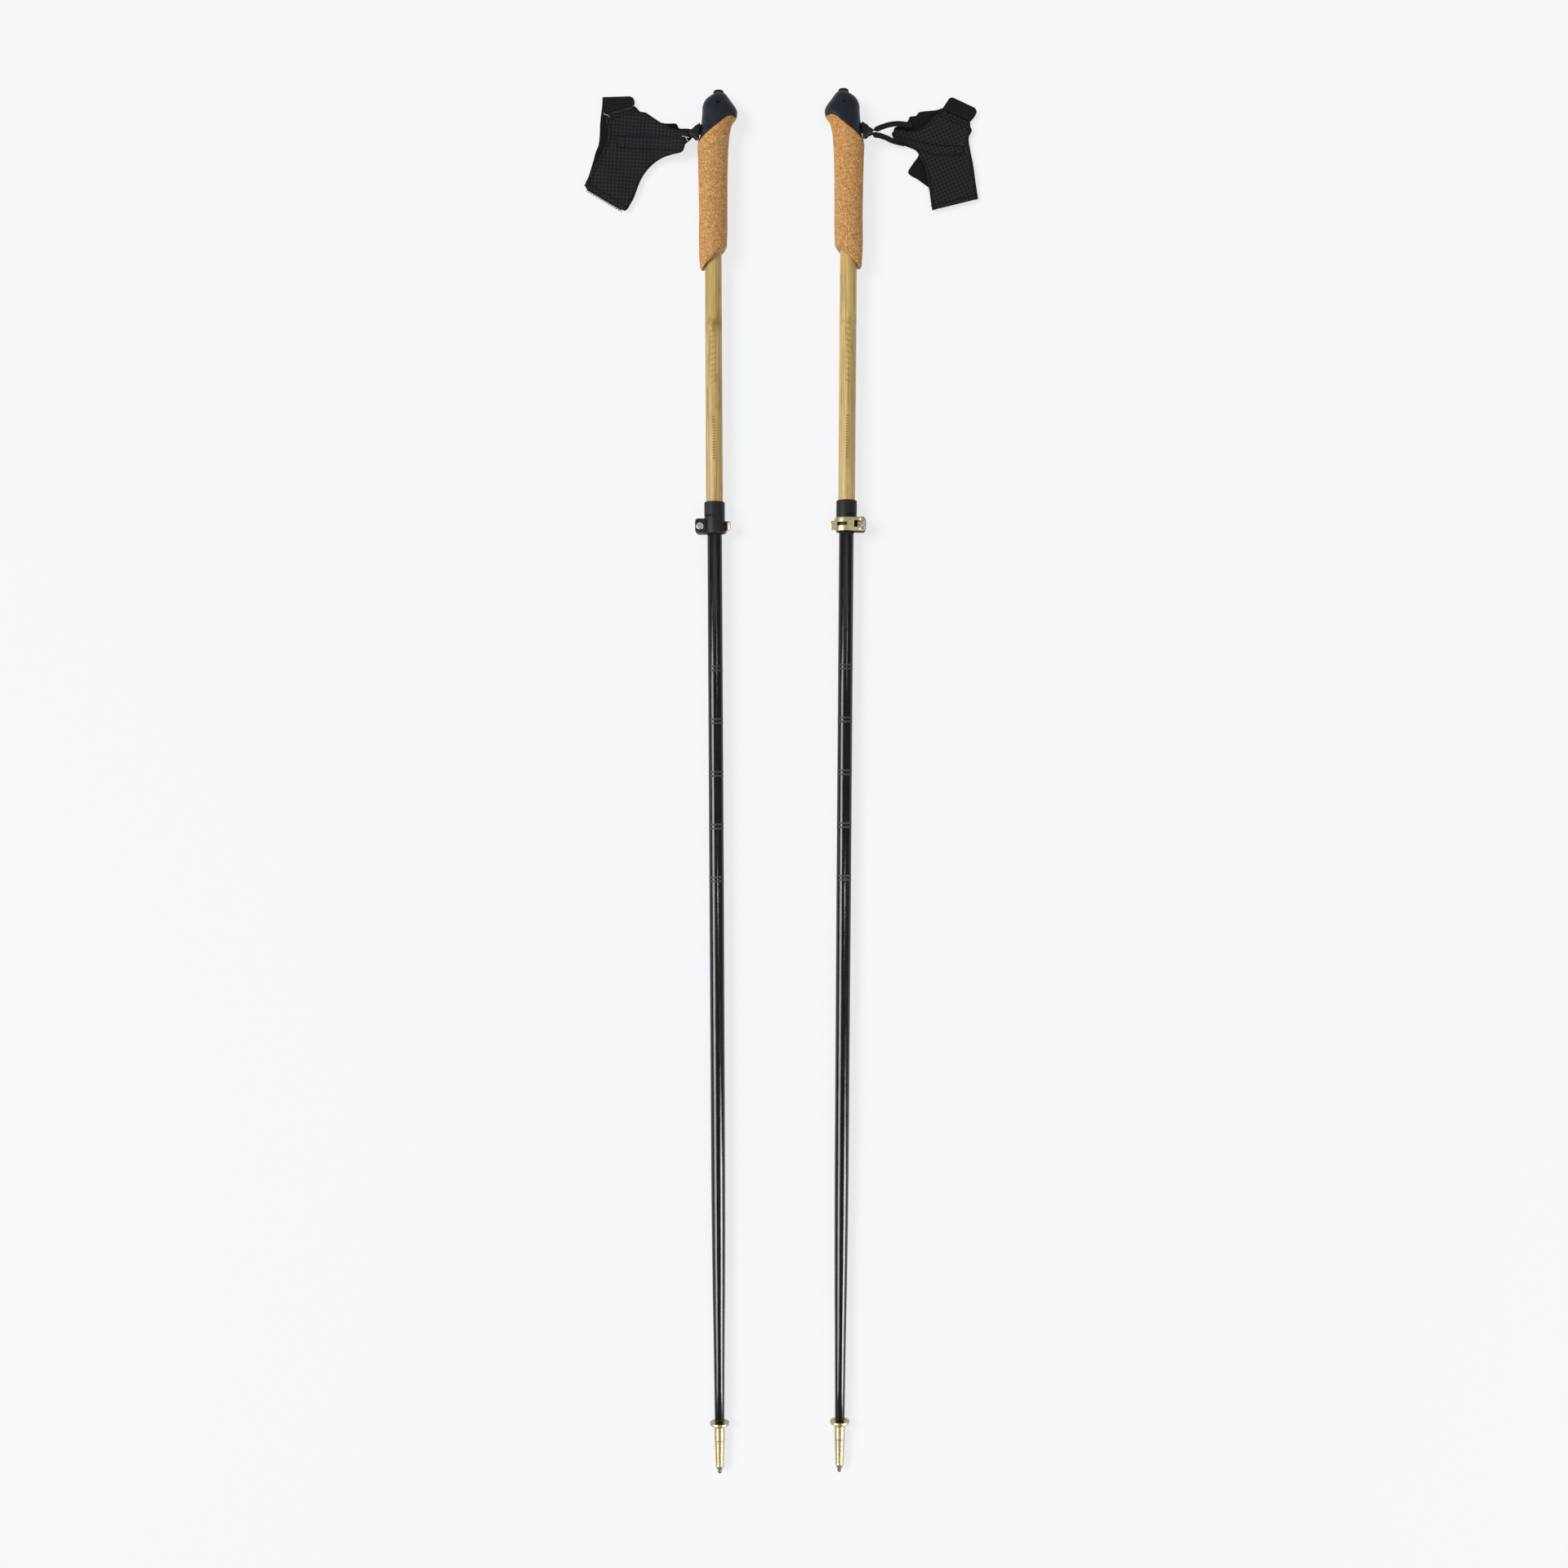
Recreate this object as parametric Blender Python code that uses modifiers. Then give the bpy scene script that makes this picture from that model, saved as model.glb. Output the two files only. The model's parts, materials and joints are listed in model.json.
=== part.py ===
"""Two Nordic walking poles lying flat, each with a two-part telescoping shaft, a lever clamp,
a cork grip and a clip-in hand strap.

Every pole is modelled in its own frame in millimetres: the tip is at the origin, +Y runs up the
shaft to the head, +X points to the strap side and +Z to the lever side. An empty places each
pole in the world, in metres. The right pole lies lever up and the left one lever down.
The hand straps lie on the ground, so they are modelled in the world's own directions.
"""
import math

import bmesh
import bpy
import numpy as np
from mathutils import Matrix, Vector

MM = 0.001
GAP = 0.35                      # clearance between neighbouring solids

# Whole pole
POLE_LENGTH = 1315.0
GROUND_PITCH_DEG = 0.238        # the grip is thicker than the ferrule, so the shaft rises
TIP_AXIS_HEIGHT = 9.012
POLES = {
    "left": {"tip": (-58.5, -658.27), "yaw_deg": 0.305, "roll_deg": 180.0, "side": -1},
    "right": {"tip": (55.3, -656.77), "yaw_deg": -0.4226, "roll_deg": 0.0, "side": 1},
}

# Tubes
UPPER_R, UPPER_BORE_R = 8.0, 7.4
UPPER_BOTTOM, UPPER_TOP = 912.0, 1266.0
LOWER_R, LOWER_BORE_R = 7.0, 6.0
LOWER_TOP = 925.7
LOWER_TAPER = [(546, 7.0, 6.0), (282, 6.7, 5.7), (235, 6.45, 5.4), (173, 5.95, 4.8), (142, 5.5, 4.3),
               (111, 5.15, 3.9), (80, 4.85, 3.5), (50, 4.62, 3.0)]
SPIGOT_R, SPIGOT_BOTTOM = 3.6, 30.0
BUSH_R, BUSH_TOP = 7.15, 932.0

# Ferrule and tip
FLANGE_R, FLANGE_TOP = 9.2, 49.0
TIP_R, TIP_LENGTH = 1.9, 15.5

# Lever clamp
CLAMP_BOTTOM, CLAMP_SPLIT, CLAMP_TOP = 894.0, 911.4, 924.0
CLAMP_R, CLAMP_BORE_R = 9.8, 7.35
CLAMP_MID = 901.0
EAR_REACH, SLIT_HALF = 18.3, 1.0
SCREW_X = 13.8
PIVOT_Z = 9.0
TRUNNION_R, EYE_R = 1.5, 2.9
LEVER_THICK, LEVER_HALF_WIDTH, LEVER_TAB_HALF_WIDTH = 2.0, 6.5, 4.4
LEVER_ARC_R, LEVER_ARC_DEG = 11.2, (75.0, 185.0)
WINDOW_HALF = 2.95

# Grip: sections are (front x, y), (rear x, y), half thickness, share of the joint's sag
JOINT_SAG = [(0.0, 0.0), (0.16, 3.3), (0.28, 3.6), (0.42, 2.2), (0.57, 1.6), (0.76, 1.2), (1.0, 0.0)]
HEAD_SECTIONS = [((-23.0, 1288.4), (14.0, 1264.6), 13.2, 1.0), ((-23.6, 1292.3), (11.8, 1271.0), 13.2, 0.7),
                 ((-22.9, 1296.2), (10.5, 1283.0), 12.8, 0.3), ((-20.6, 1300.0), (9.6, 1293.0), 12.2, 0.1),
                 ((-18.0, 1303.6), (9.1, 1300.0), 11.2, 0.0), ((-15.2, 1307.6), (6.4, 1305.2), 9.6, 0.0),
                 ((-13.0, 1310.4), (2.2, 1308.6), 7.4, 0.0), ((-11.9, 1311.4), (0.2, 1310.0), 5.6, 0.0)]
CORK_SECTIONS = [((-11.4, 1164.2), (11.0, 1144.2), 11.6, 0.0), ((-12.8, 1166.0), (12.3, 1145.8), 13.2, 0.0),
                 ((-13.2, 1171.0), (12.9, 1152.0), 13.7, 0.0), ((-13.8, 1206.0), (13.2, 1200.0), 14.0, 0.0),
                 ((-14.4, 1245.0), (13.7, 1238.0), 14.0, 0.0), ((-15.3, 1263.0), (14.0, 1252.0), 13.8, 0.1),
                 ((-16.9, 1276.0), (14.3, 1258.0), 13.6, 0.4), ((-19.2, 1283.4), (14.3, 1261.6), 13.4, 0.8),
                 ((-22.7, 1287.6), (13.8, 1264.0), 13.0, 1.0)]
CORK_BORE_R = 8.35
NECK_R = 7.0                    # the head's neck, which fits inside the upper tube's end

# Release button, its spring and its guide pin
BUTTON_TRAVEL = 3.0
PIN_X, PIN_Y, PIN_R = -5.7, 1299.0, 1.2
STEM_TOP, STEM_STEP, STEM_LOW, FOOT_TOP, FOOT_BOTTOM = 1310.0, 1289.0, 1286.0, 1277.0, 1274.5
STEM_X, STEP_X, LOW_X, FOOT_X = (-8.6, -2.8), (-8.0, -4.7), (-6.0, -4.7), (-6.0, 0.4)
CAP_FRONT, CAP_REAR, CAP_BOTTOM = -11.2, -0.8, 1309.6
STEM_HALF, CAP_HALF = 2.4, 4.1
SPRING_X, SPRING_R, SPRING_WIRE_R, SPRING_TURNS = -2.5, 2.5, 0.4, 3
SPRING_BOTTOM, SPRING_TOP = 1268.1, 1274.0

# Strap connector: it leaves the head's rear face slanting down by this angle
CONNECTOR_DEG = -22.0
CONNECTOR_ROOT = (10.5, 1278.0)
TONGUE_LENGTH, TONGUE_HALF_WIDTH, TONGUE_HALF_THICK = 13.0, 4.0, 1.7
BLOCK_OUTLINE = [(11.4, 1283.0), (12.9, 1269.4), (14.8, 1268.8), (16.4, 1269.0), (17.6, 1270.2), (18.4, 1271.4),
                 (20.6, 1271.8), (21.8, 1272.6), (22.3, 1274.0), (22.0, 1275.2), (20.8, 1276.3), (18.6, 1277.3),
                 (16.9, 1279.5), (14.3, 1281.0)]
BLOCK_HALF_THICK, BLOCK_END, TONGUE_ROOT = 4.6, 7.3, 4.0
EYE_AT, EYE_BAR_R, EYE_ARM_HALF_GAP = 10.3, 1.2, 2.9
LOOP_BORE_R, LOOP_R, LOOP_HALF_WIDTH = 1.6, 2.6, 2.5

# Hand straps, in millimetres from the connector's bar: matching edges of each panel
PANEL_THICK, WEBBING_THICK = 2.4, 1.6
INNER_Z, OUTER_Z, WEBBING_Z = 1.2, 4.35, 6.9
STRAP_RISE_LENGTH = 46.0
STRAPS = {
    "left": {
        "outer": ([(-79.2, 20.0), (-81.2, 12.8), (-79.0, 4.6), (-79.0, -1.6), (-81.0, -8.2), (-85.4, -18.4),
                   (-90.4, -27.2), (-94.6, -35.8), (-101.9, -48.8)],
                  [(-54.4, 26.6), (-49.4, 21.8), (-36.7, 16.2), (-18.5, 5.8), (-7.0, -1.6), (-9.2, -15.6),
                   (-27.2, -22.3), (-41.9, -34.0), (-49.7, -47.0), (-54.9, -60.9), (-63.6, -73.0)]),
        "inner": ([(-84.0, 33.0), (-85.3, 24.5), (-87.0, 9.3), (-88.7, -11.5), (-90.5, -16.6), (-93.4, -26.4),
                   (-97.4, -39.2), (-101.9, -50.4), (-99.1, -53.1)],
                  [(-60.0, 33.0), (-52.0, 22.0), (-36.2, 13.2), (-22.8, 8.9), (-18.0, 5.0), (-18.0, -12.0),
                   (-30.0, -21.0), (-44.0, -34.0), (-52.0, -48.0), (-57.0, -62.0), (-67.1, -72.2)]),
        "tab": [(-84.4, 35.7), (-58.4, 36.2), (-55.8, 34.9), (-54.2, 31.8), (-54.4, 27.4), (-79.2, 20.8),
                (-85.3, 20.0)],
        "fold": ((-79.2, 20.4), (-54.4, 27.0)),
        "legs": [[(-2.0, 0.4), (-12.0, 0.2), (-30.0, 0.0), (-52.0, -1.6), (-72.0, -3.0)],
                 [(-2.0, -0.4), (-11.0, -9.0), (-30.0, -13.4), (-52.0, -12.6), (-70.0, -12.0)]],
        "leg_half_width": 2.9,
    },
    "right": {
        "outer": ([(68.3, 22.1), (57.0, 10.8), (50.1, 5.6), (41.4, 2.1), (22.4, 2.1), (20.2, -1.3), (25.0, -8.3),
                   (36.2, -11.7), (44.9, -19.1), (51.8, -32.5), (55.7, -52.5), (58.7, -73.7)],
                  [(95.1, 9.9), (95.1, 5.6), (96.4, 2.0), (93.8, -3.9), (95.1, -16.9), (97.7, -29.9),
                   (99.5, -42.9), (102.5, -62.9)]),
        "inner": ([(68.0, 30.0), (62.0, 21.6), (46.6, 19.9), (43.1, 15.8), (38.8, 16.0), (35.4, 9.9), (22.4, 3.9),
                   (24.0, -6.0), (45.7, -21.3), (35.8, -37.7), (55.7, -52.3)],
                  [(95.0, 18.0), (94.6, 8.0), (94.6, 0.0), (92.0, -3.9), (93.0, -16.9), (95.0, -29.9),
                   (97.0, -44.0), (99.0, -60.0)]),
        "tab": [(73.0, 29.9), (75.2, 32.9), (78.2, 33.8), (99.5, 23.8), (101.0, 20.3), (99.5, 16.0),
                (95.1, 10.6), (68.3, 22.9)],
        "fold": ((68.3, 22.5), (95.1, 10.3)),
        "legs": [[(2.0, 0.4), (4.6, 1.9), (10.2, 5.7), (18.0, 8.5), (26.5, 9.2), (46.0, 3.4)],
                 [(2.0, -0.4), (4.0, -2.4), (9.4, -2.8), (14.9, -4.3), (22.0, -8.0), (33.0, -10.3)]],
        "leg_half_width": 2.4,
    },
}

FINISHES = {                    # colour, roughness, metallic
    "head_rubber": ((0.028, 0.034, 0.042), 0.55, 0.0), "cork": ((0.50, 0.27, 0.09), 0.85, 0.0),
    "button_plastic": ((0.020, 0.022, 0.026), 0.45, 0.0), "spring_steel": ((0.55, 0.55, 0.56), 0.35, 1.0),
    "bamboo_laminate": ((0.42, 0.30, 0.15), 0.40, 0.0), "clamp_plastic": ((0.017, 0.018, 0.020), 0.55, 0.0),
    "anodised_gold": ((0.47, 0.40, 0.24), 0.30, 1.0), "bright_steel": ((0.62, 0.62, 0.63), 0.25, 1.0),
    "carbon_shaft": ((0.012, 0.012, 0.014), 0.15, 0.0), "carbide": ((0.10, 0.10, 0.11), 0.40, 1.0),
    "strap_webbing": ((0.015, 0.015, 0.018), 0.90, 0.0), "mitt_fabric": ((0.013, 0.013, 0.017), 0.90, 0.0),
}


# ---------------------------------------------------------------- scene and materials
def clear_scene():
    for obj in list(bpy.data.objects):
        bpy.data.objects.remove(obj, do_unlink=True)


def collection(name):
    made = bpy.data.collections.new(name)
    bpy.context.scene.collection.children.link(made)
    return made


def make_materials():
    made = {}
    for name, (colour, roughness, metallic) in FINISHES.items():
        material = bpy.data.materials.new(name)
        material.use_nodes = True
        shader = material.node_tree.nodes["Principled BSDF"]
        shader.inputs["Base Color"].default_value = (*colour, 1.0)
        shader.inputs["Roughness"].default_value = roughness
        shader.inputs["Metallic"].default_value = metallic
        made[name] = material
    return made


clear_scene()
PARTS = collection("walking_poles")
CUTTERS = collection("cutters")
MATERIALS = make_materials()


# ---------------------------------------------------------------- building tools
def add(name, mesh, parent, at, finish):
    """Put a mesh in the scene, in millimetres from its parent: a part has a finish, a tool has none."""
    obj = bpy.data.objects.new(name, mesh)
    obj.parent = parent
    obj.location = Vector(at) * MM
    if finish:
        PARTS.objects.link(obj)
        mesh.materials.append(MATERIALS[finish])
        mesh.shade_smooth()
        mesh.set_sharp_from_angle(angle=math.radians(35))
    else:
        CUTTERS.objects.link(obj)
        obj.hide_render = True
        obj.display_type = "WIRE"
    return obj


def mesh_from(bm, name):
    bmesh.ops.scale(bm, vec=(MM, MM, MM), verts=bm.verts)
    bmesh.ops.recalc_face_normals(bm, faces=bm.faces)
    mesh = bpy.data.meshes.new(name)
    bm.to_mesh(mesh)
    bm.free()
    return mesh


def box(name, low, high, parent, finish=None, turn=0.0, bevel=0.0):
    """A block between two corners; turn spins it about its own middle, in the plane of X and Y."""
    size = Vector(high) - Vector(low)
    bm = bmesh.new()
    bmesh.ops.create_cube(bm, size=1.0)
    bmesh.ops.scale(bm, vec=size, verts=bm.verts)
    obj = add(name, mesh_from(bm, name), parent, (Vector(high) + Vector(low)) / 2, finish)
    obj.rotation_euler.z = turn
    if bevel:
        rounded(obj, bevel)
    return obj


def rod(name, radius, start, end, parent, finish=None, segments=24):
    """A cylinder from one point to another."""
    start, end = Vector(start), Vector(end)
    bm = bmesh.new()
    bmesh.ops.create_cone(bm, cap_ends=True, segments=segments, radius1=radius, radius2=radius,
                          depth=(end - start).length)
    obj = add(name, mesh_from(bm, name), parent, (start + end) / 2, finish)
    obj.rotation_mode = "QUATERNION"
    obj.rotation_quaternion = (end - start).to_track_quat("Z", "Y")
    return obj


def turned(name, profile, parent, finish=None, closed=True, segments=32):
    """Turn a profile of (radius, y) about the pole's axis; it runs down the outer side first."""
    mesh = bpy.data.meshes.new(name)
    points = [(r * MM, 0.0, y * MM) for r, y in profile]
    edges = [(i, i + 1) for i in range(len(points) - 1)]
    if closed:
        edges.append((len(points) - 1, 0))
    mesh.from_pydata(points, edges, [])
    obj = add(name, mesh, parent, (0, 0, 0), finish)
    obj.rotation_euler.x = -math.pi / 2
    screw = obj.modifiers.new("turn", "SCREW")
    screw.axis = "Z"
    screw.steps = segments
    screw.render_steps = segments
    screw.use_merge_vertices = True
    screw.merge_threshold = 0.00001
    screw.use_normal_calculate = False
    return obj


def plate(name, outline, half_thickness, parent, finish=None, z_mid=0.0):
    """A flat outline in X and Y, as thick as twice half_thickness."""
    curve = bpy.data.curves.new(name, "CURVE")
    curve.dimensions = "2D"
    curve.fill_mode = "BOTH"
    curve.extrude = half_thickness * MM
    spline = curve.splines.new("POLY")
    spline.points.add(len(outline) - 1)
    for point, (x, y) in zip(spline.points, outline):
        point.co = (x * MM, y * MM, 0.0, 1.0)
    spline.use_cyclic_u = True
    return as_mesh(curve, name, parent, finish, (0, 0, z_mid))


def as_mesh(curve, name, parent, finish, at):
    """Turn a curve into a closed mesh, with its caps welded on."""
    guide = bpy.data.objects.new(name + "_curve", curve)
    bpy.context.scene.collection.objects.link(guide)
    graph = bpy.context.evaluated_depsgraph_get()
    mesh = bpy.data.meshes.new_from_object(guide.evaluated_get(graph))
    bm = bmesh.new()
    bm.from_mesh(mesh)
    bmesh.ops.remove_doubles(bm, verts=bm.verts, dist=0.000001)
    bmesh.ops.recalc_face_normals(bm, faces=bm.faces)
    bm.to_mesh(mesh)
    bm.free()
    bpy.data.objects.remove(guide, do_unlink=True)
    return add(name, mesh, parent, at, finish)


def rounded(obj, width, segments=2):
    bevel = obj.modifiers.new("round", "BEVEL")
    bevel.width = width * MM
    bevel.segments = segments
    bevel.limit_method = "ANGLE"


def combine(obj, tool, operation):
    boolean = obj.modifiers.new(operation.lower(), "BOOLEAN")
    boolean.operation = operation
    boolean.object = tool
    boolean.solver = "EXACT"


def cut(obj, *tools):
    for tool in tools:
        combine(obj, tool, "DIFFERENCE")


def join(obj, *tools):
    for tool in tools:
        combine(obj, tool, "UNION")


def grid_faces(rows, columns):
    return [(r * columns + c, r * columns + c + 1, (r + 1) * columns + c + 1, (r + 1) * columns + c)
            for r in range(rows - 1) for c in range(columns - 1)]


def even_steps(points, count):
    """Points at even steps along a line through the given points."""
    points = np.asarray(points, float)
    lengths = np.concatenate([[0.0], np.cumsum(np.linalg.norm(np.diff(points, axis=0), axis=1))])
    wanted = np.linspace(0.0, lengths[-1], count)
    return np.stack([np.interp(wanted, lengths, points[:, k]) for k in range(points.shape[1])], axis=1)


# ---------------------------------------------------------------- grip
def grip_ring(front, rear, half, sag_share, segments=20):
    """An oval section, its long axis from the front point to the rear point, sagging with the joint."""
    share, sag = zip(*JOINT_SAG)
    ring = []
    for k in range(segments):
        angle = 2 * math.pi * k / segments
        along = (1 - math.cos(angle)) / 2
        x = front[0] + (rear[0] - front[0]) * along
        y = front[1] + (rear[1] - front[1]) * along + sag_share * float(np.interp(along, share, sag))
        ring.append((x, y, half * math.sin(angle)))
    return ring


def lofted(name, sections, parent, finish):
    """A closed skin through oval sections. Strips across the first and last section close it."""
    rings = [grip_ring(*section) for section in sections]
    count = len(rings[0])
    verts = [point for ring in rings for point in ring]
    faces = []
    for r in range(len(rings) - 1):
        for k in range(count):
            after = (k + 1) % count
            faces.append((r * count + k, r * count + after, (r + 1) * count + after, (r + 1) * count + k))
    for first in (0, (len(rings) - 1) * count):
        for k in range(count // 2):
            strip = [first + k, first + k + 1, first + (count - k - 1) % count, first + (count - k) % count]
            faces.append(tuple(dict.fromkeys(strip)))
    bm = bmesh.new()
    made = [bm.verts.new(point) for point in verts]
    for face in faces:
        bm.faces.new([made[i] for i in face])
    return add(name, mesh_from(bm, name), parent, (0, 0, 0), finish)


def connector_point(along, across=0.0):
    """A point in the pole's X and Y: along the connector from its root, and across it."""
    angle = math.radians(CONNECTOR_DEG)
    x = CONNECTOR_ROOT[0] + along * math.cos(angle) - across * math.sin(angle)
    y = CONNECTOR_ROOT[1] + along * math.sin(angle) + across * math.cos(angle)
    return x, y


def connector_box(name, along, half_width, half_thick, parent):
    x, y = connector_point((along[0] + along[1]) / 2)
    half_length = (along[1] - along[0]) / 2
    return box(name, (x - half_length, y - half_width, -half_thick), (x + half_length, y + half_width, half_thick),
               parent, turn=math.radians(CONNECTOR_DEG))


def grip_head(side, pole):
    """The moulded head: it holds the button's well, the strap's socket and the neck in the tube."""
    head = lofted(side + "_grip_head", HEAD_SECTIONS, pole, "head_rubber")
    neck = rod(side + "_neck", NECK_R, (0, UPPER_TOP - 4, 0), (0, UPPER_TOP + 12, 0), pole)
    join(head, neck)
    room = STEM_HALF + GAP
    drop = BUTTON_TRAVEL + GAP
    wells = [
        box(side + "_cap_well", (CAP_FRONT - GAP, CAP_BOTTOM - drop, -CAP_HALF - GAP),
            (CAP_REAR + GAP, 1320, CAP_HALF + GAP), pole),
        box(side + "_stem_well", (STEM_X[0] - GAP, STEM_STEP - drop, -room), (STEM_X[1] + GAP, STEM_TOP, room), pole),
        box(side + "_step_well", (STEP_X[0] - GAP, STEM_LOW - drop, -room), (STEP_X[1] + GAP, STEM_STEP, room), pole),
        box(side + "_lower_well", (LOW_X[0] - GAP, FOOT_BOTTOM - drop, -room), (LOW_X[1] + GAP, STEM_LOW, room), pole),
        box(side + "_foot_well", (FOOT_X[0] - GAP, FOOT_BOTTOM - drop, -room), (FOOT_X[1] + GAP, FOOT_TOP + GAP, room),
            pole),
        rod(side + "_spring_well", SPRING_R + SPRING_WIRE_R + GAP, (SPRING_X, SPRING_BOTTOM - GAP, 0),
            (SPRING_X, 1275, 0), pole),
        connector_box(side + "_socket", (-TONGUE_LENGTH - GAP, 20.0), TONGUE_HALF_WIDTH + GAP,
                      TONGUE_HALF_THICK + GAP, pole),
        rod(side + "_pin_hole", PIN_R + GAP, (PIN_X, PIN_Y, -20), (PIN_X, PIN_Y, 20), pole),
    ]
    cut(head, *wells)
    return head


def cork_grip(side, pole):
    """The cork sleeve, bored for the tube, with a slanted lower end."""
    cork = lofted(side + "_cork_grip", CORK_SECTIONS, pole, "cork")
    cut(cork, rod(side + "_cork_bore", CORK_BORE_R, (0, 1120, 0), (0, 1300, 0), pole, segments=32))
    return cork


def release_button(side, pole):
    """Cap, stem and foot in one piece; the guide pin passes through a slot in the stem."""
    button = box(side + "_release_button", (STEM_X[0], STEM_STEP, -STEM_HALF), (STEM_X[1], STEM_TOP, STEM_HALF), pole,
                 "button_plastic")
    join(button,
         box(side + "_cap", (CAP_FRONT, CAP_BOTTOM, -CAP_HALF), (CAP_REAR, POLE_LENGTH, CAP_HALF), pole, bevel=2.4),
         box(side + "_step", (STEP_X[0], STEM_LOW, -STEM_HALF + 0.1), (STEP_X[1], STEM_STEP + 1, STEM_HALF - 0.1), pole),
         box(side + "_low_stem", (LOW_X[0], FOOT_BOTTOM + 1, -STEM_HALF + 0.2), (LOW_X[1] - 0.1, STEM_LOW + 1,
                                                                                STEM_HALF - 0.2), pole),
         box(side + "_foot", (FOOT_X[0] + 0.1, FOOT_BOTTOM, -STEM_HALF), (FOOT_X[1], FOOT_TOP, STEM_HALF), pole))
    reach = PIN_R + GAP
    slot = box(side + "_pin_slot", (PIN_X - reach, PIN_Y - reach, -5), (PIN_X + reach, PIN_Y + reach + BUTTON_TRAVEL, 5),
               pole)
    cut(button, slot)
    return button


def button_spring(side, pole):
    """A short coil under the button's foot."""
    steps = SPRING_TURNS * 10
    rise = SPRING_TOP - SPRING_BOTTOM - 2 * SPRING_WIRE_R
    curve = bpy.data.curves.new(side + "_button_spring", "CURVE")
    curve.dimensions = "3D"
    curve.bevel_depth = SPRING_WIRE_R * MM
    curve.bevel_resolution = 1
    curve.use_fill_caps = True
    spline = curve.splines.new("POLY")
    spline.points.add(steps)
    for i, point in enumerate(spline.points):
        angle = 2 * math.pi * i / 10
        y = SPRING_BOTTOM + SPRING_WIRE_R + rise * i / steps
        point.co = ((SPRING_X + SPRING_R * math.cos(angle)) * MM, y * MM, SPRING_R * math.sin(angle) * MM, 1.0)
    return as_mesh(curve, side + "_button_spring", pole, "spring_steel", (0, 0, 0))


def guide_pins(side, pole):
    """Two short pins from the head's sides into the stem's slot."""
    return rod(side + "_guide_pin", PIN_R, (PIN_X, PIN_Y, -11.4), (PIN_X, PIN_Y, 11.4), pole, "bright_steel", 16)


# ---------------------------------------------------------------- tubes, ferrule and tip
def upper_shaft(side, pole):
    profile = [(UPPER_R, UPPER_TOP), (UPPER_R, UPPER_BOTTOM), (UPPER_BORE_R, UPPER_BOTTOM), (UPPER_BORE_R, UPPER_TOP)]
    return turned(side + "_upper_shaft", profile, pole, "bamboo_laminate")


def lower_shaft(side, pole):
    """A tube that tapers to the ferrule, with a spigot inside it; it is open at both ends."""
    outer = [(LOWER_R, LOWER_TOP)] + [(r, y) for y, r, bore in LOWER_TAPER]
    outer += [(SPIGOT_R, LOWER_TAPER[-1][0]), (SPIGOT_R, SPIGOT_BOTTOM), (LOWER_TAPER[-1][2] - 0.5, SPIGOT_BOTTOM)]
    inner = [(bore, y) for y, r, bore in reversed(LOWER_TAPER)] + [(LOWER_BORE_R, LOWER_TOP)]
    return turned(side + "_lower_shaft", outer + inner, pole, "carbon_shaft", segments=20)


def tube_bush(side, pole):
    """The plug in the lower tube's top end, which guides it inside the upper tube."""
    plug_r = LOWER_BORE_R - GAP
    profile = [(0, BUSH_TOP), (BUSH_R - 0.6, BUSH_TOP), (BUSH_R, BUSH_TOP - 0.8), (BUSH_R, LOWER_TOP + GAP),
               (plug_r, LOWER_TOP + GAP), (plug_r, LOWER_TOP - 11.0), (0, LOWER_TOP - 11.0)]
    return turned(side + "_tube_bush", profile, pole, "clamp_plastic", closed=False, segments=28)


def ferrule(side, pole):
    """The flanged metal end: a socket for the tube above, and a socket for the tip below."""
    bore = SPIGOT_R + GAP
    tip_bore = TIP_R + GAP
    profile = [(8.7, FLANGE_TOP), (FLANGE_R, 48.5), (FLANGE_R, 45.8), (8.2, 44.4), (6.2, 42.2), (4.9, 41.0),
               (4.9, 32.2), (4.7, 31.6), (3.75, 8.6), (4.0, 8.2), (4.0, 7.2), (3.6, 6.8), (2.7, 4.0),
               (tip_bore, 4.0), (tip_bore, TIP_LENGTH + GAP), (0, TIP_LENGTH + GAP)]
    body = turned(side + "_ferrule", [(0, FLANGE_TOP)] + profile, pole, "anodised_gold", closed=False, segments=24)
    cut(body, rod(side + "_ferrule_bore", bore, (0, SPIGOT_BOTTOM - GAP, 0), (0, 60, 0), pole))
    return body


def carbide_tip(side, pole):
    profile = [(0, TIP_LENGTH), (TIP_R, TIP_LENGTH), (TIP_R, 1.2), (1.4, 0.35), (0.7, 0.0), (0, 0.0)]
    return turned(side + "_carbide_tip", profile, pole, "carbide", closed=False, segments=16)


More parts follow.
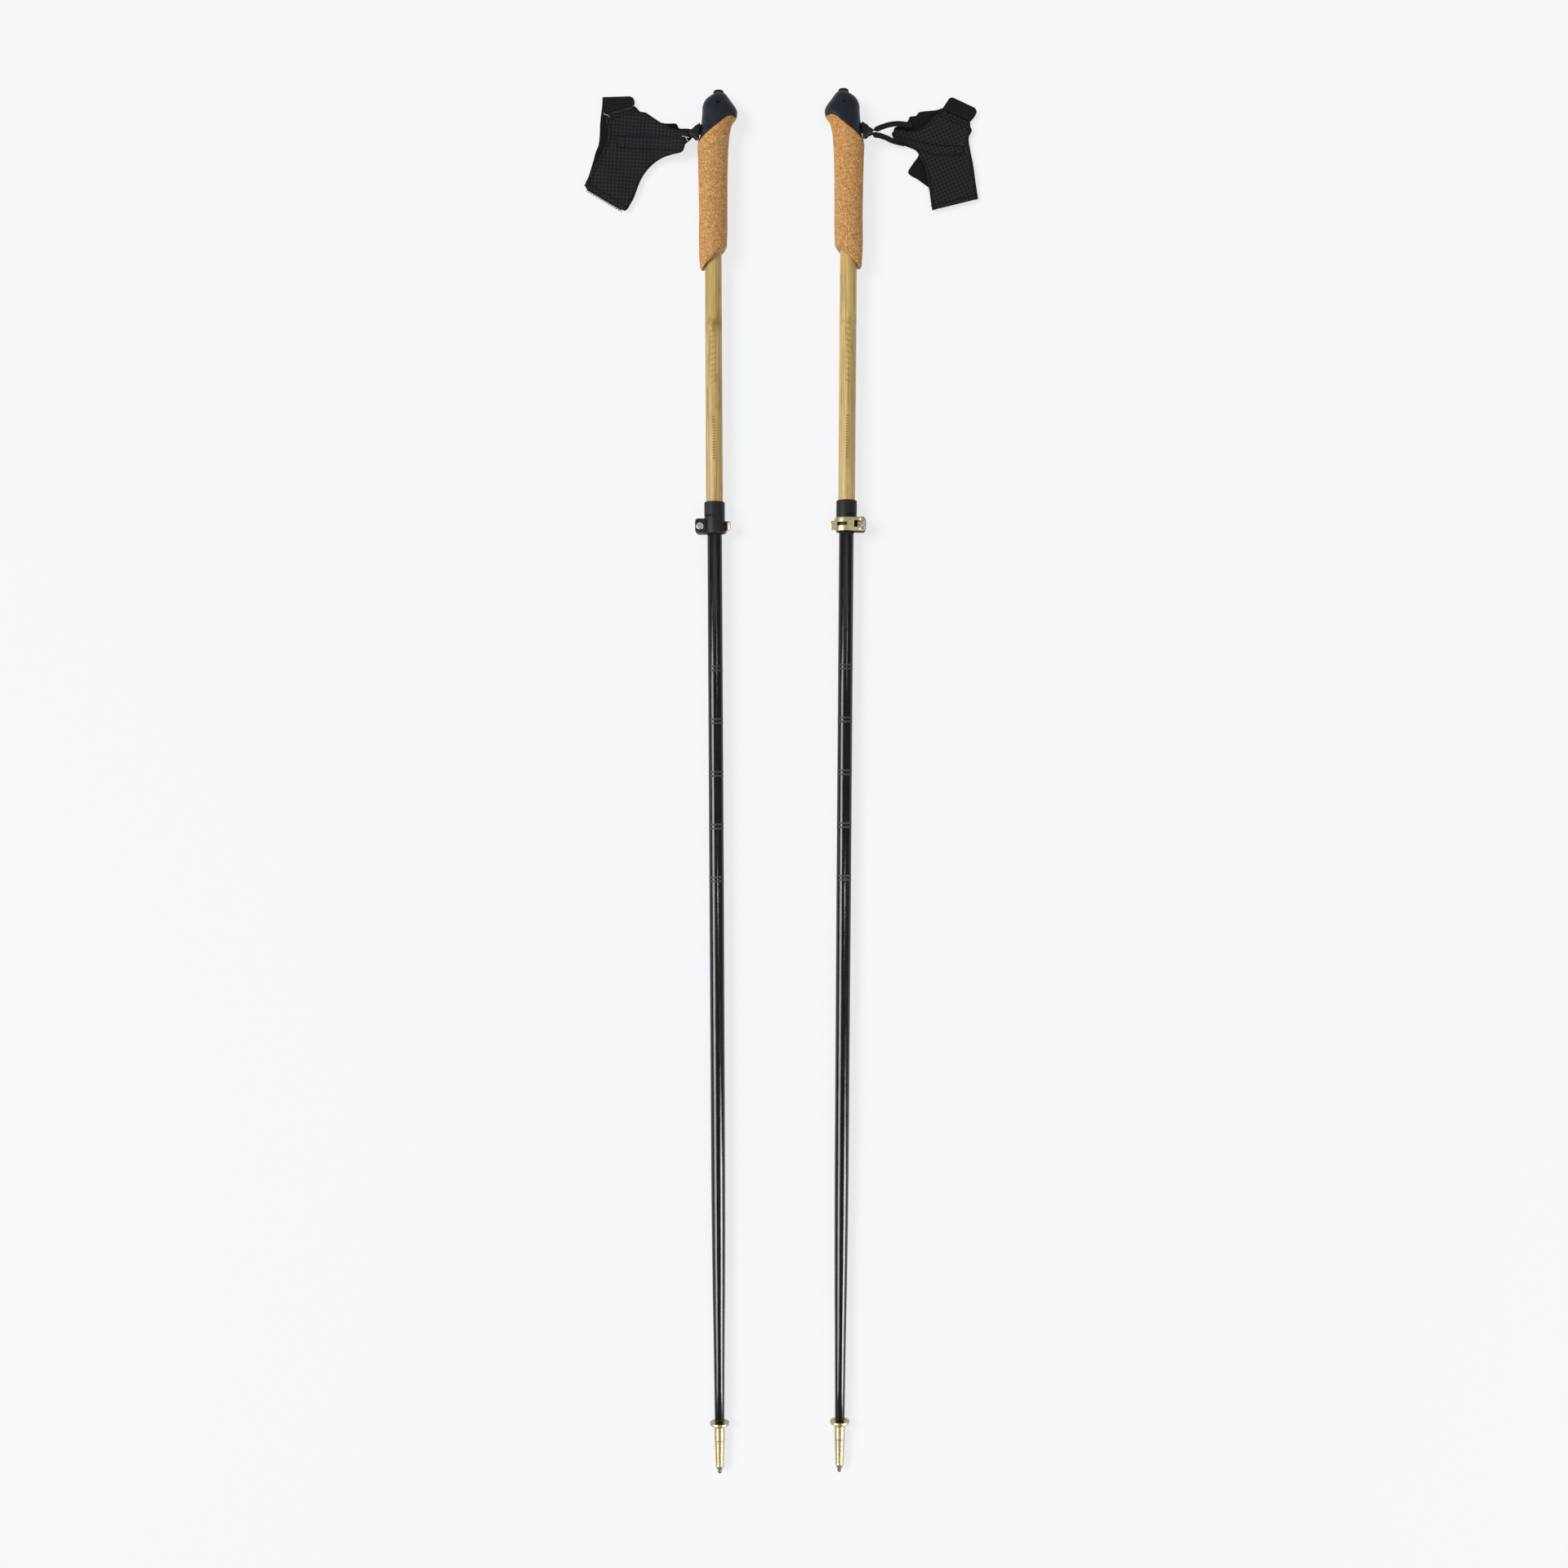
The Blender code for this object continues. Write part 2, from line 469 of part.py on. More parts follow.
# ---------------------------------------------------------------- lever clamp
def clamp_sleeve(side, pole):
    """A sleeve glued to the upper tube; below a cross cut it is a split band with two ears."""
    glued_r = UPPER_R + GAP
    profile = [(9.2, CLAMP_TOP), (CLAMP_R, CLAMP_TOP - 1.4), (CLAMP_R, CLAMP_BOTTOM + 0.5), (9.3, CLAMP_BOTTOM),
               (CLAMP_BORE_R, CLAMP_BOTTOM), (CLAMP_BORE_R, CLAMP_SPLIT), (glued_r, CLAMP_SPLIT),
               (glued_r, CLAMP_TOP)]
    sleeve = turned(side + "_clamp_sleeve", profile, pole, "clamp_plastic")
    front_ear = box(side + "_front_ear", (7.7, 894.4, SLIT_HALF), (EAR_REACH, 908.0, 4.6), pole)
    back_ear = box(side + "_back_ear", (7.7, 894.4, -6.5), (EAR_REACH, 908.0, -SLIT_HALF), pole)
    join(sleeve, front_ear, back_ear)
    cut(sleeve,
        box(side + "_slit", (4.0, 890, -SLIT_HALF), (20, CLAMP_SPLIT - 0.4, SLIT_HALF), pole),
        box(side + "_cross_cut", (1.0, CLAMP_SPLIT - 1.2, -12), (20, CLAMP_SPLIT - 0.2, 12), pole),
        rod(side + "_screw_hole", 1.75, (SCREW_X, CLAMP_MID, -10), (SCREW_X, CLAMP_MID, 10), pole),
        rod(side + "_head_recess", 3.9, (SCREW_X, CLAMP_MID, -10), (SCREW_X, CLAMP_MID, -4.0), pole))
    return sleeve


def pressure_plate(side, pole):
    """A thin plate between the lever's eyes and the front ear."""
    plate_body = box(side + "_pressure_plate", (10.3, 895.3, 4.6 + GAP), (17.6, 906.7, 5.75), pole, "bright_steel")
    cut(plate_body, rod(side + "_plate_hole", 1.75, (SCREW_X, CLAMP_MID, 0), (SCREW_X, CLAMP_MID, 10), pole))
    return plate_body


def clamp_screw(side, pole):
    """The tension screw: its head sits in the back ear, and its end is in the lever's nut."""
    head = rod(side + "_clamp_screw", 3.5, (SCREW_X, CLAMP_MID, -6.2), (SCREW_X, CLAMP_MID, -4.3), pole, "bright_steel")
    shank = rod(side + "_shank", 1.25, (SCREW_X, CLAMP_MID, -4.6), (SCREW_X, CLAMP_MID, 9.2), pole, segments=16)
    join(head, shank)
    for name, half_x, half_y in (("_cross_a", 2.1, 0.45), ("_cross_b", 0.45, 2.1)):
        cut(head, box(side + name, (SCREW_X - half_x, CLAMP_MID - half_y, -7),
                      (SCREW_X + half_x, CLAMP_MID + half_y, -5.3), pole))
    return head


def lever_nut(side, pole):
    """A square nut turned corner up, with a trunnion at each end that the lever turns on."""
    half = 1.95
    nut = box(side + "_lever_nut", (SCREW_X - half, CLAMP_MID - half, PIVOT_Z - 2.1),
              (SCREW_X + half, CLAMP_MID + half, PIVOT_Z + 2.3), pole, "anodised_gold", turn=math.radians(45))
    for name, low, high in (("_trunnion_a", -6.2, -2.0), ("_trunnion_b", 2.0, 6.2)):
        join(nut, rod(side + name, TRUNNION_R, (SCREW_X, CLAMP_MID + low, PIVOT_Z),
                      (SCREW_X, CLAMP_MID + high, PIVOT_Z), pole, segments=20))
    cut(nut,
        rod(side + "_thread", 1.25 + 0.2, (SCREW_X, CLAMP_MID, 0), (SCREW_X, CLAMP_MID, 9.5), pole, segments=16),
        box(side + "_nut_recess", (SCREW_X - 1.1, CLAMP_MID - 1.1, 10.4), (SCREW_X + 1.1, CLAMP_MID + 1.1, 13), pole))
    return nut


def lever_path():
    """The lever's middle line in X and Z: straight off the pivot, round the sleeve, then a flared tab."""
    low, high = LEVER_ARC_DEG
    arc = [(LEVER_ARC_R * math.cos(math.radians(a)), LEVER_ARC_R * math.sin(math.radians(a)))
           for a in np.linspace(low, high, 12)]
    return [(SCREW_X, PIVOT_Z), (8.4, 9.95)] + arc + [(-12.1, -3.2), (-13.6, -4.8), (-15.3, -5.6)]


def clamp_lever(side, pole):
    """A bent strip with a fork over the nut, an eye on each prong, and a slot in its back."""
    path = lever_path()
    verts = []
    for i, (x, z) in enumerate(path):
        narrowing = min(max((i - 10) / 3.0, 0.0), 1.0)
        half = LEVER_HALF_WIDTH + (LEVER_TAB_HALF_WIDTH - LEVER_HALF_WIDTH) * narrowing
        verts += [((x - SCREW_X) * MM, -half * MM, (z - PIVOT_Z) * MM), ((x - SCREW_X) * MM, half * MM, (z - PIVOT_Z) * MM)]
    mesh = bpy.data.meshes.new(side + "_clamp_lever")
    mesh.from_pydata(verts, [], grid_faces(len(path), 2))
    lever = add(side + "_clamp_lever", mesh, pole, (SCREW_X, CLAMP_MID, PIVOT_Z), "anodised_gold")
    skin = lever.modifiers.new("thickness", "SOLIDIFY")
    skin.thickness = LEVER_THICK * MM
    skin.offset = 0.0
    for name, low, high in (("_eye_a", -LEVER_HALF_WIDTH, -WINDOW_HALF), ("_eye_b", WINDOW_HALF, LEVER_HALF_WIDTH)):
        join(lever, rod(side + name, EYE_R, (SCREW_X, CLAMP_MID + low, PIVOT_Z), (SCREW_X, CLAMP_MID + high, PIVOT_Z),
                        pole))
    cut(lever,
        box(side + "_window", (9.6, CLAMP_MID - WINDOW_HALF, 0), (20, CLAMP_MID + WINDOW_HALF, 15), pole),
        rod(side + "_pivot_hole", TRUNNION_R + GAP, (SCREW_X, CLAMP_MID - 9, PIVOT_Z),
            (SCREW_X, CLAMP_MID + 9, PIVOT_Z), pole, segments=20),
        box(side + "_lever_slot", (-9.05, CLAMP_MID - 1.4, 5), (-0.15, CLAMP_MID + 1.4, 15), pole))
    return lever


# ---------------------------------------------------------------- strap connector and hand strap
def strap_connector(side, pole):
    """A tongue that clips into the head, a block, and two arms that hold the bar of the strap's eye."""
    body = plate(side + "_strap_connector", BLOCK_OUTLINE, BLOCK_HALF_THICK, pole, "button_plastic")
    join(body, connector_box(side + "_tongue", (-TONGUE_LENGTH, TONGUE_ROOT), TONGUE_HALF_WIDTH,
                             TONGUE_HALF_THICK, pole))
    cut(body, connector_box(side + "_eye_gap", (BLOCK_END, 16.0), 9.0, EYE_ARM_HALF_GAP, pole))
    bar_x, bar_y = connector_point(EYE_AT)
    join(body, rod(side + "_eye_bar", EYE_BAR_R, (bar_x, bar_y, -3.6), (bar_x, bar_y, 3.6), pole, segments=16))
    return body


def strap_origin(side):
    """The world place of the connector's bar, in millimetres."""
    x, y = connector_point(EYE_AT)
    return pole_matrix(side) @ Vector((x * MM, y * MM, 0.0)) / MM


def rise(side, x, y):
    """How far the strap has climbed to the bar's height: none far away, all of it at the bar."""
    near = max(0.0, 1.0 - math.hypot(x, y) / STRAP_RISE_LENGTH)
    return near * near * (3.0 - 2.0 * near) * (strap_origin(side).z - WEBBING_Z)


def cloth(name, side, rows, height, thickness, finish):
    """A sheet through a grid of (x, y) points from the bar, at the given height, made solid."""
    origin = strap_origin(side)
    columns = len(rows[0])
    verts = [((origin.x + x) * MM, (origin.y + y) * MM, height(x, y) * MM) for row in rows for x, y in row]
    mesh = bpy.data.meshes.new(name)
    mesh.from_pydata(verts, [], grid_faces(len(rows), columns))
    sheet = add(name, mesh, None, (0, 0, 0), finish)
    skin = sheet.modifiers.new("thickness", "SOLIDIFY")
    skin.thickness = thickness * MM
    skin.offset = 0.0
    return sheet


def panel_rows(edges, rows=14, columns=7):
    first, second = even_steps(edges[0], rows), even_steps(edges[1], rows)
    return [[tuple(a + (b - a) * c / (columns - 1)) for c in range(columns)] for a, b in zip(first, second)]


def mitt_outer(side):
    rows = panel_rows(STRAPS[side]["outer"])
    return cloth(side + "_mitt_outer", side, rows, lambda x, y: OUTER_Z + 0.72 * rise(side, x, y), PANEL_THICK,
                 "mitt_fabric")


def mitt_inner(side):
    rows = panel_rows(STRAPS[side]["inner"])
    return cloth(side + "_mitt_inner", side, rows, lambda x, y: INNER_Z, PANEL_THICK, "mitt_fabric")


def wrist_tab(side):
    origin = strap_origin(side)
    outline = [(origin.x + x, origin.y + y) for x, y in STRAPS[side]["tab"]]
    return plate(side + "_wrist_tab", outline, PANEL_THICK / 2, None, "strap_webbing", OUTER_Z)


def strap_webbing(side):
    """A loop round the connector's bar, with two legs that run out on top of the mitt."""
    strap = STRAPS[side]
    origin = strap_origin(side)
    loop = rod(side + "_strap_webbing", LOOP_R, (origin.x, origin.y, origin.z - LOOP_HALF_WIDTH),
               (origin.x, origin.y, origin.z + LOOP_HALF_WIDTH), None, "strap_webbing")
    for number, leg in enumerate(strap["legs"]):
        route = even_steps(leg, 10)
        across = np.gradient(route, axis=0)
        across = np.stack([-across[:, 1], across[:, 0]], axis=1) / np.linalg.norm(across, axis=1)[:, None]
        half = np.interp(np.arange(10), [0, 2], [1.2, strap["leg_half_width"]])[:, None]
        edges = np.stack([route - across * half, route + across * half], axis=1)
        rows = [[tuple(point) for point in pair] for pair in edges]
        join(loop, cloth(f"{side}_leg_{number}", side, rows, lambda x, y: WEBBING_Z + rise(side, x, y),
                         WEBBING_THICK, None))
    cut(loop, rod(side + "_loop_bore", LOOP_BORE_R, (origin.x, origin.y, origin.z - 9),
                  (origin.x, origin.y, origin.z + 9), None, segments=16))
    return loop


# ---------------------------------------------------------------- both poles
def pole_matrix(side):
    place = POLES[side]
    shift = Vector((place["tip"][0] * MM, place["tip"][1] * MM, TIP_AXIS_HEIGHT * MM))
    return (Matrix.Translation(shift)
            @ Matrix.Rotation(math.radians(place["yaw_deg"]), 4, "Z")
            @ Matrix.Rotation(math.radians(GROUND_PITCH_DEG), 4, "X")
            @ Matrix.Rotation(math.radians(place["roll_deg"]), 4, "Y"))


POLE_PIECES = [grip_head, cork_grip, release_button, button_spring, guide_pins, upper_shaft, lower_shaft, tube_bush,
               ferrule, carbide_tip, clamp_sleeve, pressure_plate, clamp_screw, lever_nut, clamp_lever,
               strap_connector]
STRAP_PIECES = [mitt_outer, mitt_inner, wrist_tab, strap_webbing]


def build_pole(side):
    empty = bpy.data.objects.new(side + "_pole", None)
    bpy.context.scene.collection.objects.link(empty)
    empty.matrix_world = pole_matrix(side)
    for make in POLE_PIECES:
        make(side, empty)
    for make in STRAP_PIECES:
        make(side)


for pole_side in POLES:
    build_pole(pole_side)
bpy.context.view_layer.update()
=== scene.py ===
# %% [markdown]
# A pair of walking poles lies flat on a light table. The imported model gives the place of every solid
# and joint, so it is loaded first and nothing here moves it. Each pole has its own frame in
# millimetres: the tip is at the origin, Y runs up the shaft, X points to the strap and Z to the lever.
# Working in that frame keeps the numbers those of a real pole, and both poles share one set of pieces.

# %% Load the frame
import json
import math

import bmesh
import bpy
import numpy as np
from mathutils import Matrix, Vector


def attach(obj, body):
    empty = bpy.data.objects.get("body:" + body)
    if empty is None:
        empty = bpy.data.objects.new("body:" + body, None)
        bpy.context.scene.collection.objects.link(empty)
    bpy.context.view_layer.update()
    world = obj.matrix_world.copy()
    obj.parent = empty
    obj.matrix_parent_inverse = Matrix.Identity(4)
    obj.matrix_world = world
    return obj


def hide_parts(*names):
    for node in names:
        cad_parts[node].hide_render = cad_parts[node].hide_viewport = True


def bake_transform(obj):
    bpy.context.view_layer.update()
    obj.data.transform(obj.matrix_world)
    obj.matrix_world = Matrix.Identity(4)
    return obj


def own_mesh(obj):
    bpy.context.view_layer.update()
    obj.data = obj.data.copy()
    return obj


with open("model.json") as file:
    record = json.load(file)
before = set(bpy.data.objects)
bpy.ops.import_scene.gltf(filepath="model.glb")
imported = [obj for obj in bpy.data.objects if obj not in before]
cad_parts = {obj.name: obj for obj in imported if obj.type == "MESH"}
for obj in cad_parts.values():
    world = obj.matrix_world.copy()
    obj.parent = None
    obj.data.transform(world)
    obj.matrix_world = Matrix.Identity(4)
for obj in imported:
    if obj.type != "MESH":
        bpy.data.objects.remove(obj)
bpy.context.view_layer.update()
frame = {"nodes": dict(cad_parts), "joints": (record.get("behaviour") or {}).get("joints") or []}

MM = 0.001
SIDES = ("left", "right")
JOINTS = {joint["name"]: joint for joint in frame["joints"]}
TURN_AT = 900.0                 # the lower tube turns about a point this far above the tip


# %% Each pole's own frame
def pole_frame(side):
    """Rows are the pole's X, Y and Z in the world: Y slides the tube, Z turns the screw, X = Y x Z."""
    along = np.array(JOINTS[side + "_telescope"]["axis"], float)
    up = np.array(JOINTS[side + "_screw_turn"]["axis"], float)
    origin = np.array(JOINTS[side + "_tube_turn"]["pos_m"], float) - TURN_AT * MM * along
    return np.stack([np.cross(along, up), along, up]), origin


POLE = {side: pole_frame(side) for side in SIDES}
for side in SIDES:
    print(side, "tip in mm", np.round(POLE[side][1] / MM, 2))

# %% [markdown]
# Every surface is a grid of points worked out from two parameters, or a profile carried round an axis.
# A smooth line through measured points comes first: it is used for outlines, sections and tapes.
# Hermite pieces are chosen because they pass through each measured point, which a B-spline does not.


# %% Smooth lines and rounded corners
def flowing(points, count):
    """A smooth line through points, at even steps of length.
    Between two points it is a cubic whose end slopes are the mean slopes round each point."""
    points = np.asarray(points, float)
    length = np.concatenate([[0.0], np.cumsum(np.linalg.norm(np.diff(points, axis=0), axis=1))])
    slope = np.gradient(points, length, axis=0)
    wanted = np.linspace(0.0, length[-1], count)
    i = np.clip(np.searchsorted(length, wanted, side="right") - 1, 0, len(length) - 2)
    step = (length[i + 1] - length[i])[:, None]
    u = (wanted - length[i])[:, None] / step
    return ((1 + 2 * u) * (1 - u) ** 2 * points[i] + u * (1 - u) ** 2 * step * slope[i]
            + u * u * (3 - 2 * u) * points[i + 1] + u * u * (u - 1) * step * slope[i + 1])


def softened(points, radius, steps=4, closed=False):
    """Cut each corner back by the radius and bridge it with a parabola that touches both sides."""
    points = np.asarray(points, float)
    before, after = np.roll(points, 1, axis=0) - points, np.roll(points, -1, axis=0) - points
    reach = [np.minimum(radius, 0.45 * np.linalg.norm(way, axis=1))[:, None] for way in (before, after)]
    start = points + before / np.linalg.norm(before, axis=1)[:, None] * reach[0]
    end = points + after / np.linalg.norm(after, axis=1)[:, None] * reach[1]
    t = np.linspace(0, 1, steps + 1)[None, :, None]
    arcs = (1 - t) ** 2 * start[:, None] + 2 * t * (1 - t) * points[:, None] + t * t * end[:, None]
    if closed:
        return arcs.reshape(-1, points.shape[1])
    return np.vstack([points[:1], arcs[1:-1].reshape(-1, points.shape[1]), points[-1:]])


print("a softened square has", len(softened([(0, 0), (9, 0), (9, 9), (0, 9)], 2, closed=True)), "points")


# %% Grids of points become skins
def grid_faces(rows, columns, closed_rows, closed_columns):
    """Each face joins a point to the next in its row and in its column, all as one array."""
    r = np.arange(rows if closed_rows else rows - 1)[:, None]
    c = np.arange(columns if closed_columns else columns - 1)[None, :]
    next_r, next_c = (r + 1) % rows, (c + 1) % columns
    corners = (r * columns + c, r * columns + next_c, next_r * columns + next_c, next_r * columns + c)
    return np.stack(np.broadcast_arrays(*corners), axis=-1).reshape(-1, 4)


def from_arrays(name, points, faces):
    """An object from points and faces: points that meet are merged, and faces turned outwards."""
    mesh = bpy.data.meshes.new(name)
    mesh.from_pydata(points.tolist(), [], [list(face) for face in faces])
    bm = bmesh.new()
    bm.from_mesh(mesh)
    bmesh.ops.remove_doubles(bm, verts=bm.verts, dist=0.0001)
    bmesh.ops.recalc_face_normals(bm, faces=bm.faces)
    bm.to_mesh(mesh)
    bm.free()
    made = bpy.data.objects.new(name, mesh)
    bpy.context.scene.collection.objects.link(made)
    return made


def skin(name, points, closed_rows=False):
    """A surface through rows of points, each closed to a ring; the last row can join the first too."""
    rows, columns = points.shape[:2]
    return from_arrays(name, points.reshape(-1, 3), grid_faces(rows, columns, closed_rows, True))


def turned(name, profile, around=96, closed=False, axis="Y", centre=(0.0, 0.0, 0.0)):
    """Each profile point (r, h) goes round the axis: r cos a and r sin a across it, and h along it."""
    radius, height = np.asarray(profile, float).T[:, :, None]
    angle = np.linspace(0, 2 * math.pi, around, endpoint=False)[None, :]
    across, up, level = radius * np.cos(angle), radius * np.sin(angle), height + 0 * angle
    columns = {"Y": (across, level, up), "Z": (across, up, level)}[axis]
    return skin(name, np.stack(columns, axis=-1) + np.array(centre, float), closed)


def rod(name, radius, low, high, around, axis="Y", centre=(0.0, 0.0, 0.0)):
    """A plain cylinder with flat ends, which is what most holes are cut with."""
    profile = [(0, low), (radius, low), (radius, high), (0, high)]
    return turned(name, profile, around, axis=axis, centre=centre)


def slab(name, outline, low, high, edge, steps=4):
    """A closed outline in X and Y, from one height to another. Near both ends it shrinks towards its
    middle as a quarter circle does, which rounds the edges. One flat face closes each end."""
    outline = np.asarray(outline, float)
    middle = (outline.min(axis=0) + outline.max(axis=0)) / 2
    half = np.ptp(outline, axis=0) / 2
    turn = np.linspace(0, math.pi / 2, steps + 1)
    inset = edge * (1 - np.sin(turn))
    height = edge * (1 - np.cos(turn))
    inset = np.concatenate([inset, inset[::-1]])
    height = np.concatenate([low + height, (high - height)[::-1]])
    rings = middle + (outline - middle)[None] * (1 - inset[:, None, None] / half)
    level = np.broadcast_to(height[:, None, None], rings.shape[:2] + (1,))
    count = len(outline)
    points = np.concatenate([rings, level], axis=-1).reshape(-1, 3)
    ends = [np.arange(count), np.arange(count) + len(points) - count]
    return from_arrays(name, points, [*grid_faces(len(rings), count, False, True), *ends])


def block(name, low, high, round_by, edge):
    """A box between two corners, rounded in plan and along its edges."""
    plan = [(low[0], low[1]), (high[0], low[1]), (high[0], high[1]), (low[0], high[1])]
    return slab(name, softened(plan, round_by, closed=True), low[2], high[2], edge)


print("a face ring of 4 by 6 points has", len(grid_faces(4, 6, False, True)), "faces")


# %% Cutting and joining
def carve(made, tool, how="DIFFERENCE"):
    """Cut the tool out of a piece, or join it on, and drop the tool."""
    change = made.modifiers.new("carve", "BOOLEAN")
    change.operation = how
    change.solver = "EXACT"
    change.object = tool
    graph = bpy.context.evaluated_depsgraph_get()
    mesh = bpy.data.meshes.new_from_object(made.evaluated_get(graph))
    made.modifiers.clear()
    made.data = mesh
    bpy.data.objects.remove(tool)
    return made


def dropped(*spent):
    """Take models out of the scene once their copies are on both poles."""
    for model in spent:
        bpy.data.objects.remove(model)


def show(piece, finish, nodes, sharp_deg):
    """Smooth shading up to an angle, a finish, and hiding the nodes it stands for."""
    piece.data.materials.clear()
    piece.data.materials.append(finish)
    piece.data.shade_smooth()
    piece.data.set_sharp_from_angle(angle=math.radians(sharp_deg))
    if nodes:
        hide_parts(*nodes)


def on_both_poles(model, node, body, finish, sharp_deg=35.0):
    """Copy a model in pole millimetres to both poles. Each copy keeps those millimetres as an
    attribute, so that grain and prints follow the pole, and its place goes into its mesh."""
    for side in SIDES:
        axes, origin = POLE[side]
        piece = bpy.data.objects.new(f"{side}_{node}_made", model.data.copy())
        bpy.context.scene.collection.objects.link(piece)
        local = np.zeros(len(piece.data.vertices) * 3)
        piece.data.vertices.foreach_get("co", local)
        kept = piece.data.attributes.new("pole_mm", "FLOAT_VECTOR", "POINT")
        kept.data.foreach_set("vector", local.astype(np.float32))
        place = local.reshape(-1, 3) * MM @ axes + origin
        piece.data.vertices.foreach_set("co", place.ravel().astype(np.float32))
        piece.data.update()
        show(piece, finish, [f"{side}_{node}"], sharp_deg)
        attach(piece, "poles" if body == "poles" else f"{side}_{body}")
    print(node, "has", len(model.data.polygons), "faces on each pole")
    dropped(model)

# %% [markdown]
# Finishes are made from nodes. Colours are written as sRGB hex, as a colour card gives them, and one
# function turns them to the linear values that light adds up in. Patterns are worked out in
# millimetres from the attribute kept on each piece, so a granule of cork is as big as a real one.


# %% Colours and nodes
def linear(code):
    """sRGB hex to opaque linear: c / 12.92 where dark, ((c + 0.055) / 1.055) to the power 2.4 elsewhere."""
    share = [int(code[i:i + 2], 16) / 255 for i in (1, 3, 5)]
    return [c / 12.92 if c <= 0.04045 else ((c + 0.055) / 1.055) ** 2.4 for c in share] + [1.0]


def node(tree, kind, sockets=(), **settings):
    """Add a node: settings go on it, and each socket takes a value or the output to link to it."""
    made = tree.nodes.new(kind)
    for name, value in settings.items():
        setattr(made, name, value)
    for name, value in dict(sockets).items():
        if isinstance(value, bpy.types.NodeSocket):
            tree.links.new(value, made.inputs[name])
        else:
            made.inputs[name].default_value = value
    return made


def finish(name, **values):
    """A new material and its shader, with values set on the shader's own sockets."""
    made = bpy.data.materials.new(name)
    made.use_nodes = True
    shader = made.node_tree.nodes["Principled BSDF"]
    for socket, value in values.items():
        shader.inputs[socket.replace("_", " ")].default_value = value
    return made, made.node_tree, shader


def in_mm(tree, attribute="pole_mm"):
    """Where a point is on its piece, in millimetres."""
    return node(tree, "ShaderNodeAttribute", attribute_name=attribute).outputs["Vector"]


def stretched(tree, vector, scale):
    """A vector with each direction scaled, so that one unit is one feature of the pattern."""
    return node(tree, "ShaderNodeVectorMath", {0: vector, 1: scale}, operation="MULTIPLY").outputs[0]


def noise(tree, vector, scale, detail, **more):
    """Smooth noise from 0 to 1, with so many features to the unit."""
    sockets = {"Vector": vector, "Scale": scale, "Detail": detail, **more}
    return node(tree, "ShaderNodeTexNoise", sockets).outputs[0]


def maths(tree, operation, *values):
    """One sum on numbers or outputs, such as ADD, MULTIPLY or PINGPONG."""
    return node(tree, "ShaderNodeMath", dict(enumerate(values)), operation=operation).outputs[0]


def blended(tree, share, first, second):
    """The first colour where share is 0 and the second where it is 1; each is a hex code or an output."""
    pick = [linear(colour) if isinstance(colour, str) else colour for colour in (first, second)]
    return node(tree, "ShaderNodeMix", {0: share, 6: pick[0], 7: pick[1]}, data_type="RGBA").outputs[2]


def stepped(tree, value, low, high, start=0.0, end=1.0):
    """A value from start to end as the input goes from low to high, held at both ends."""
    return node(tree, "ShaderNodeMapRange", {0: value, 1: low, 2: high, 3: start, 4: end}).outputs[0]


def relief(tree, shader, height, depth_mm):
    """Bump on a shader, from a height of 0 to 1 that stands for so many millimetres."""
    made = node(tree, "ShaderNodeBump", {"Height": height, "Distance": depth_mm * MM, "Strength": 1.0})
    tree.links.new(made.outputs[0], shader.inputs["Normal"])


print("black plastic in linear light", [round(c, 4) for c in linear("#1c1d20")])

# %% [markdown]
# The grip is agglomerated cork: ground bark, pressed with a binder, then sanded. The eye gets
# orange-brown granules of 1 to 3 mm, paler flecks where a granule is cut across, dark specks of bark
# and a dry, matt surface. Two sets of cells give granules and specks, and a warped noise the flecks.


# %% Agglomerated cork, sanded
def cork_finish():
    made, tree, shader = finish("agglomerated_cork", Roughness=0.85, IOR=1.45)
    place = in_mm(tree)
    granule = node(tree, "ShaderNodeTexVoronoi", {"Vector": place, "Scale": 0.55, "Randomness": 1.0})
    tone = node(tree, "ShaderNodeSeparateColor", {0: granule.outputs["Color"]}).outputs[0]
    body = blended(tree, stepped(tree, tone, 0.1, 0.9), "#be7724", "#da9843")
    cloud = noise(tree, place, 0.09, 3.0)
    body = blended(tree, stepped(tree, cloud, 0.35, 0.7, 0.0, 0.4), body, "#c48638")
    fleck = noise(tree, place, 0.70, 2.0, Distortion=2.2)
    pale = stepped(tree, fleck, 0.54, 0.60, 0.0, 0.85)
    body = blended(tree, pale, body, "#f2d9a8")
    speck = node(tree, "ShaderNodeTexVoronoi", {"Vector": place, "Scale": 0.34}).outputs["Distance"]
    dark = stepped(tree, speck, 0.10, 0.24, 0.75, 0.0)
    body = blended(tree, dark, body, "#7a4814")
    tree.links.new(body, shader.inputs["Base Color"])
    edge = node(tree, "ShaderNodeTexVoronoi", {"Vector": place, "Scale": 0.55}, feature="DISTANCE_TO_EDGE")
    pore = stepped(tree, edge.outputs["Distance"], 0.0, 0.16)
    relief(tree, shader, maths(tree, "SUBTRACT", pore, dark), 0.35)
    return made


CORK = cork_finish()
print("finish", CORK.name)

# %% [markdown]
# The upper shaft is wrapped in bamboo: split strips, glued edge to edge along the tube, sanded and
# sealed with a satin lacquer. The eye gets long fibres, strips that differ a little, and a darker ring
# with blotches where the cane had a growth node. Noise drawn out along Y gives fibres, and the angle
# round the tube, cut into steps, gives strips. Two rows of plain slanted bars stand for printed marks.


# %% Bamboo strips under satin lacquer
STRIPS = 9                       # strips round the tube, each about 5.6 mm wide
KNOT_AT = 1093.0                 # the growth node, in mm above the tip
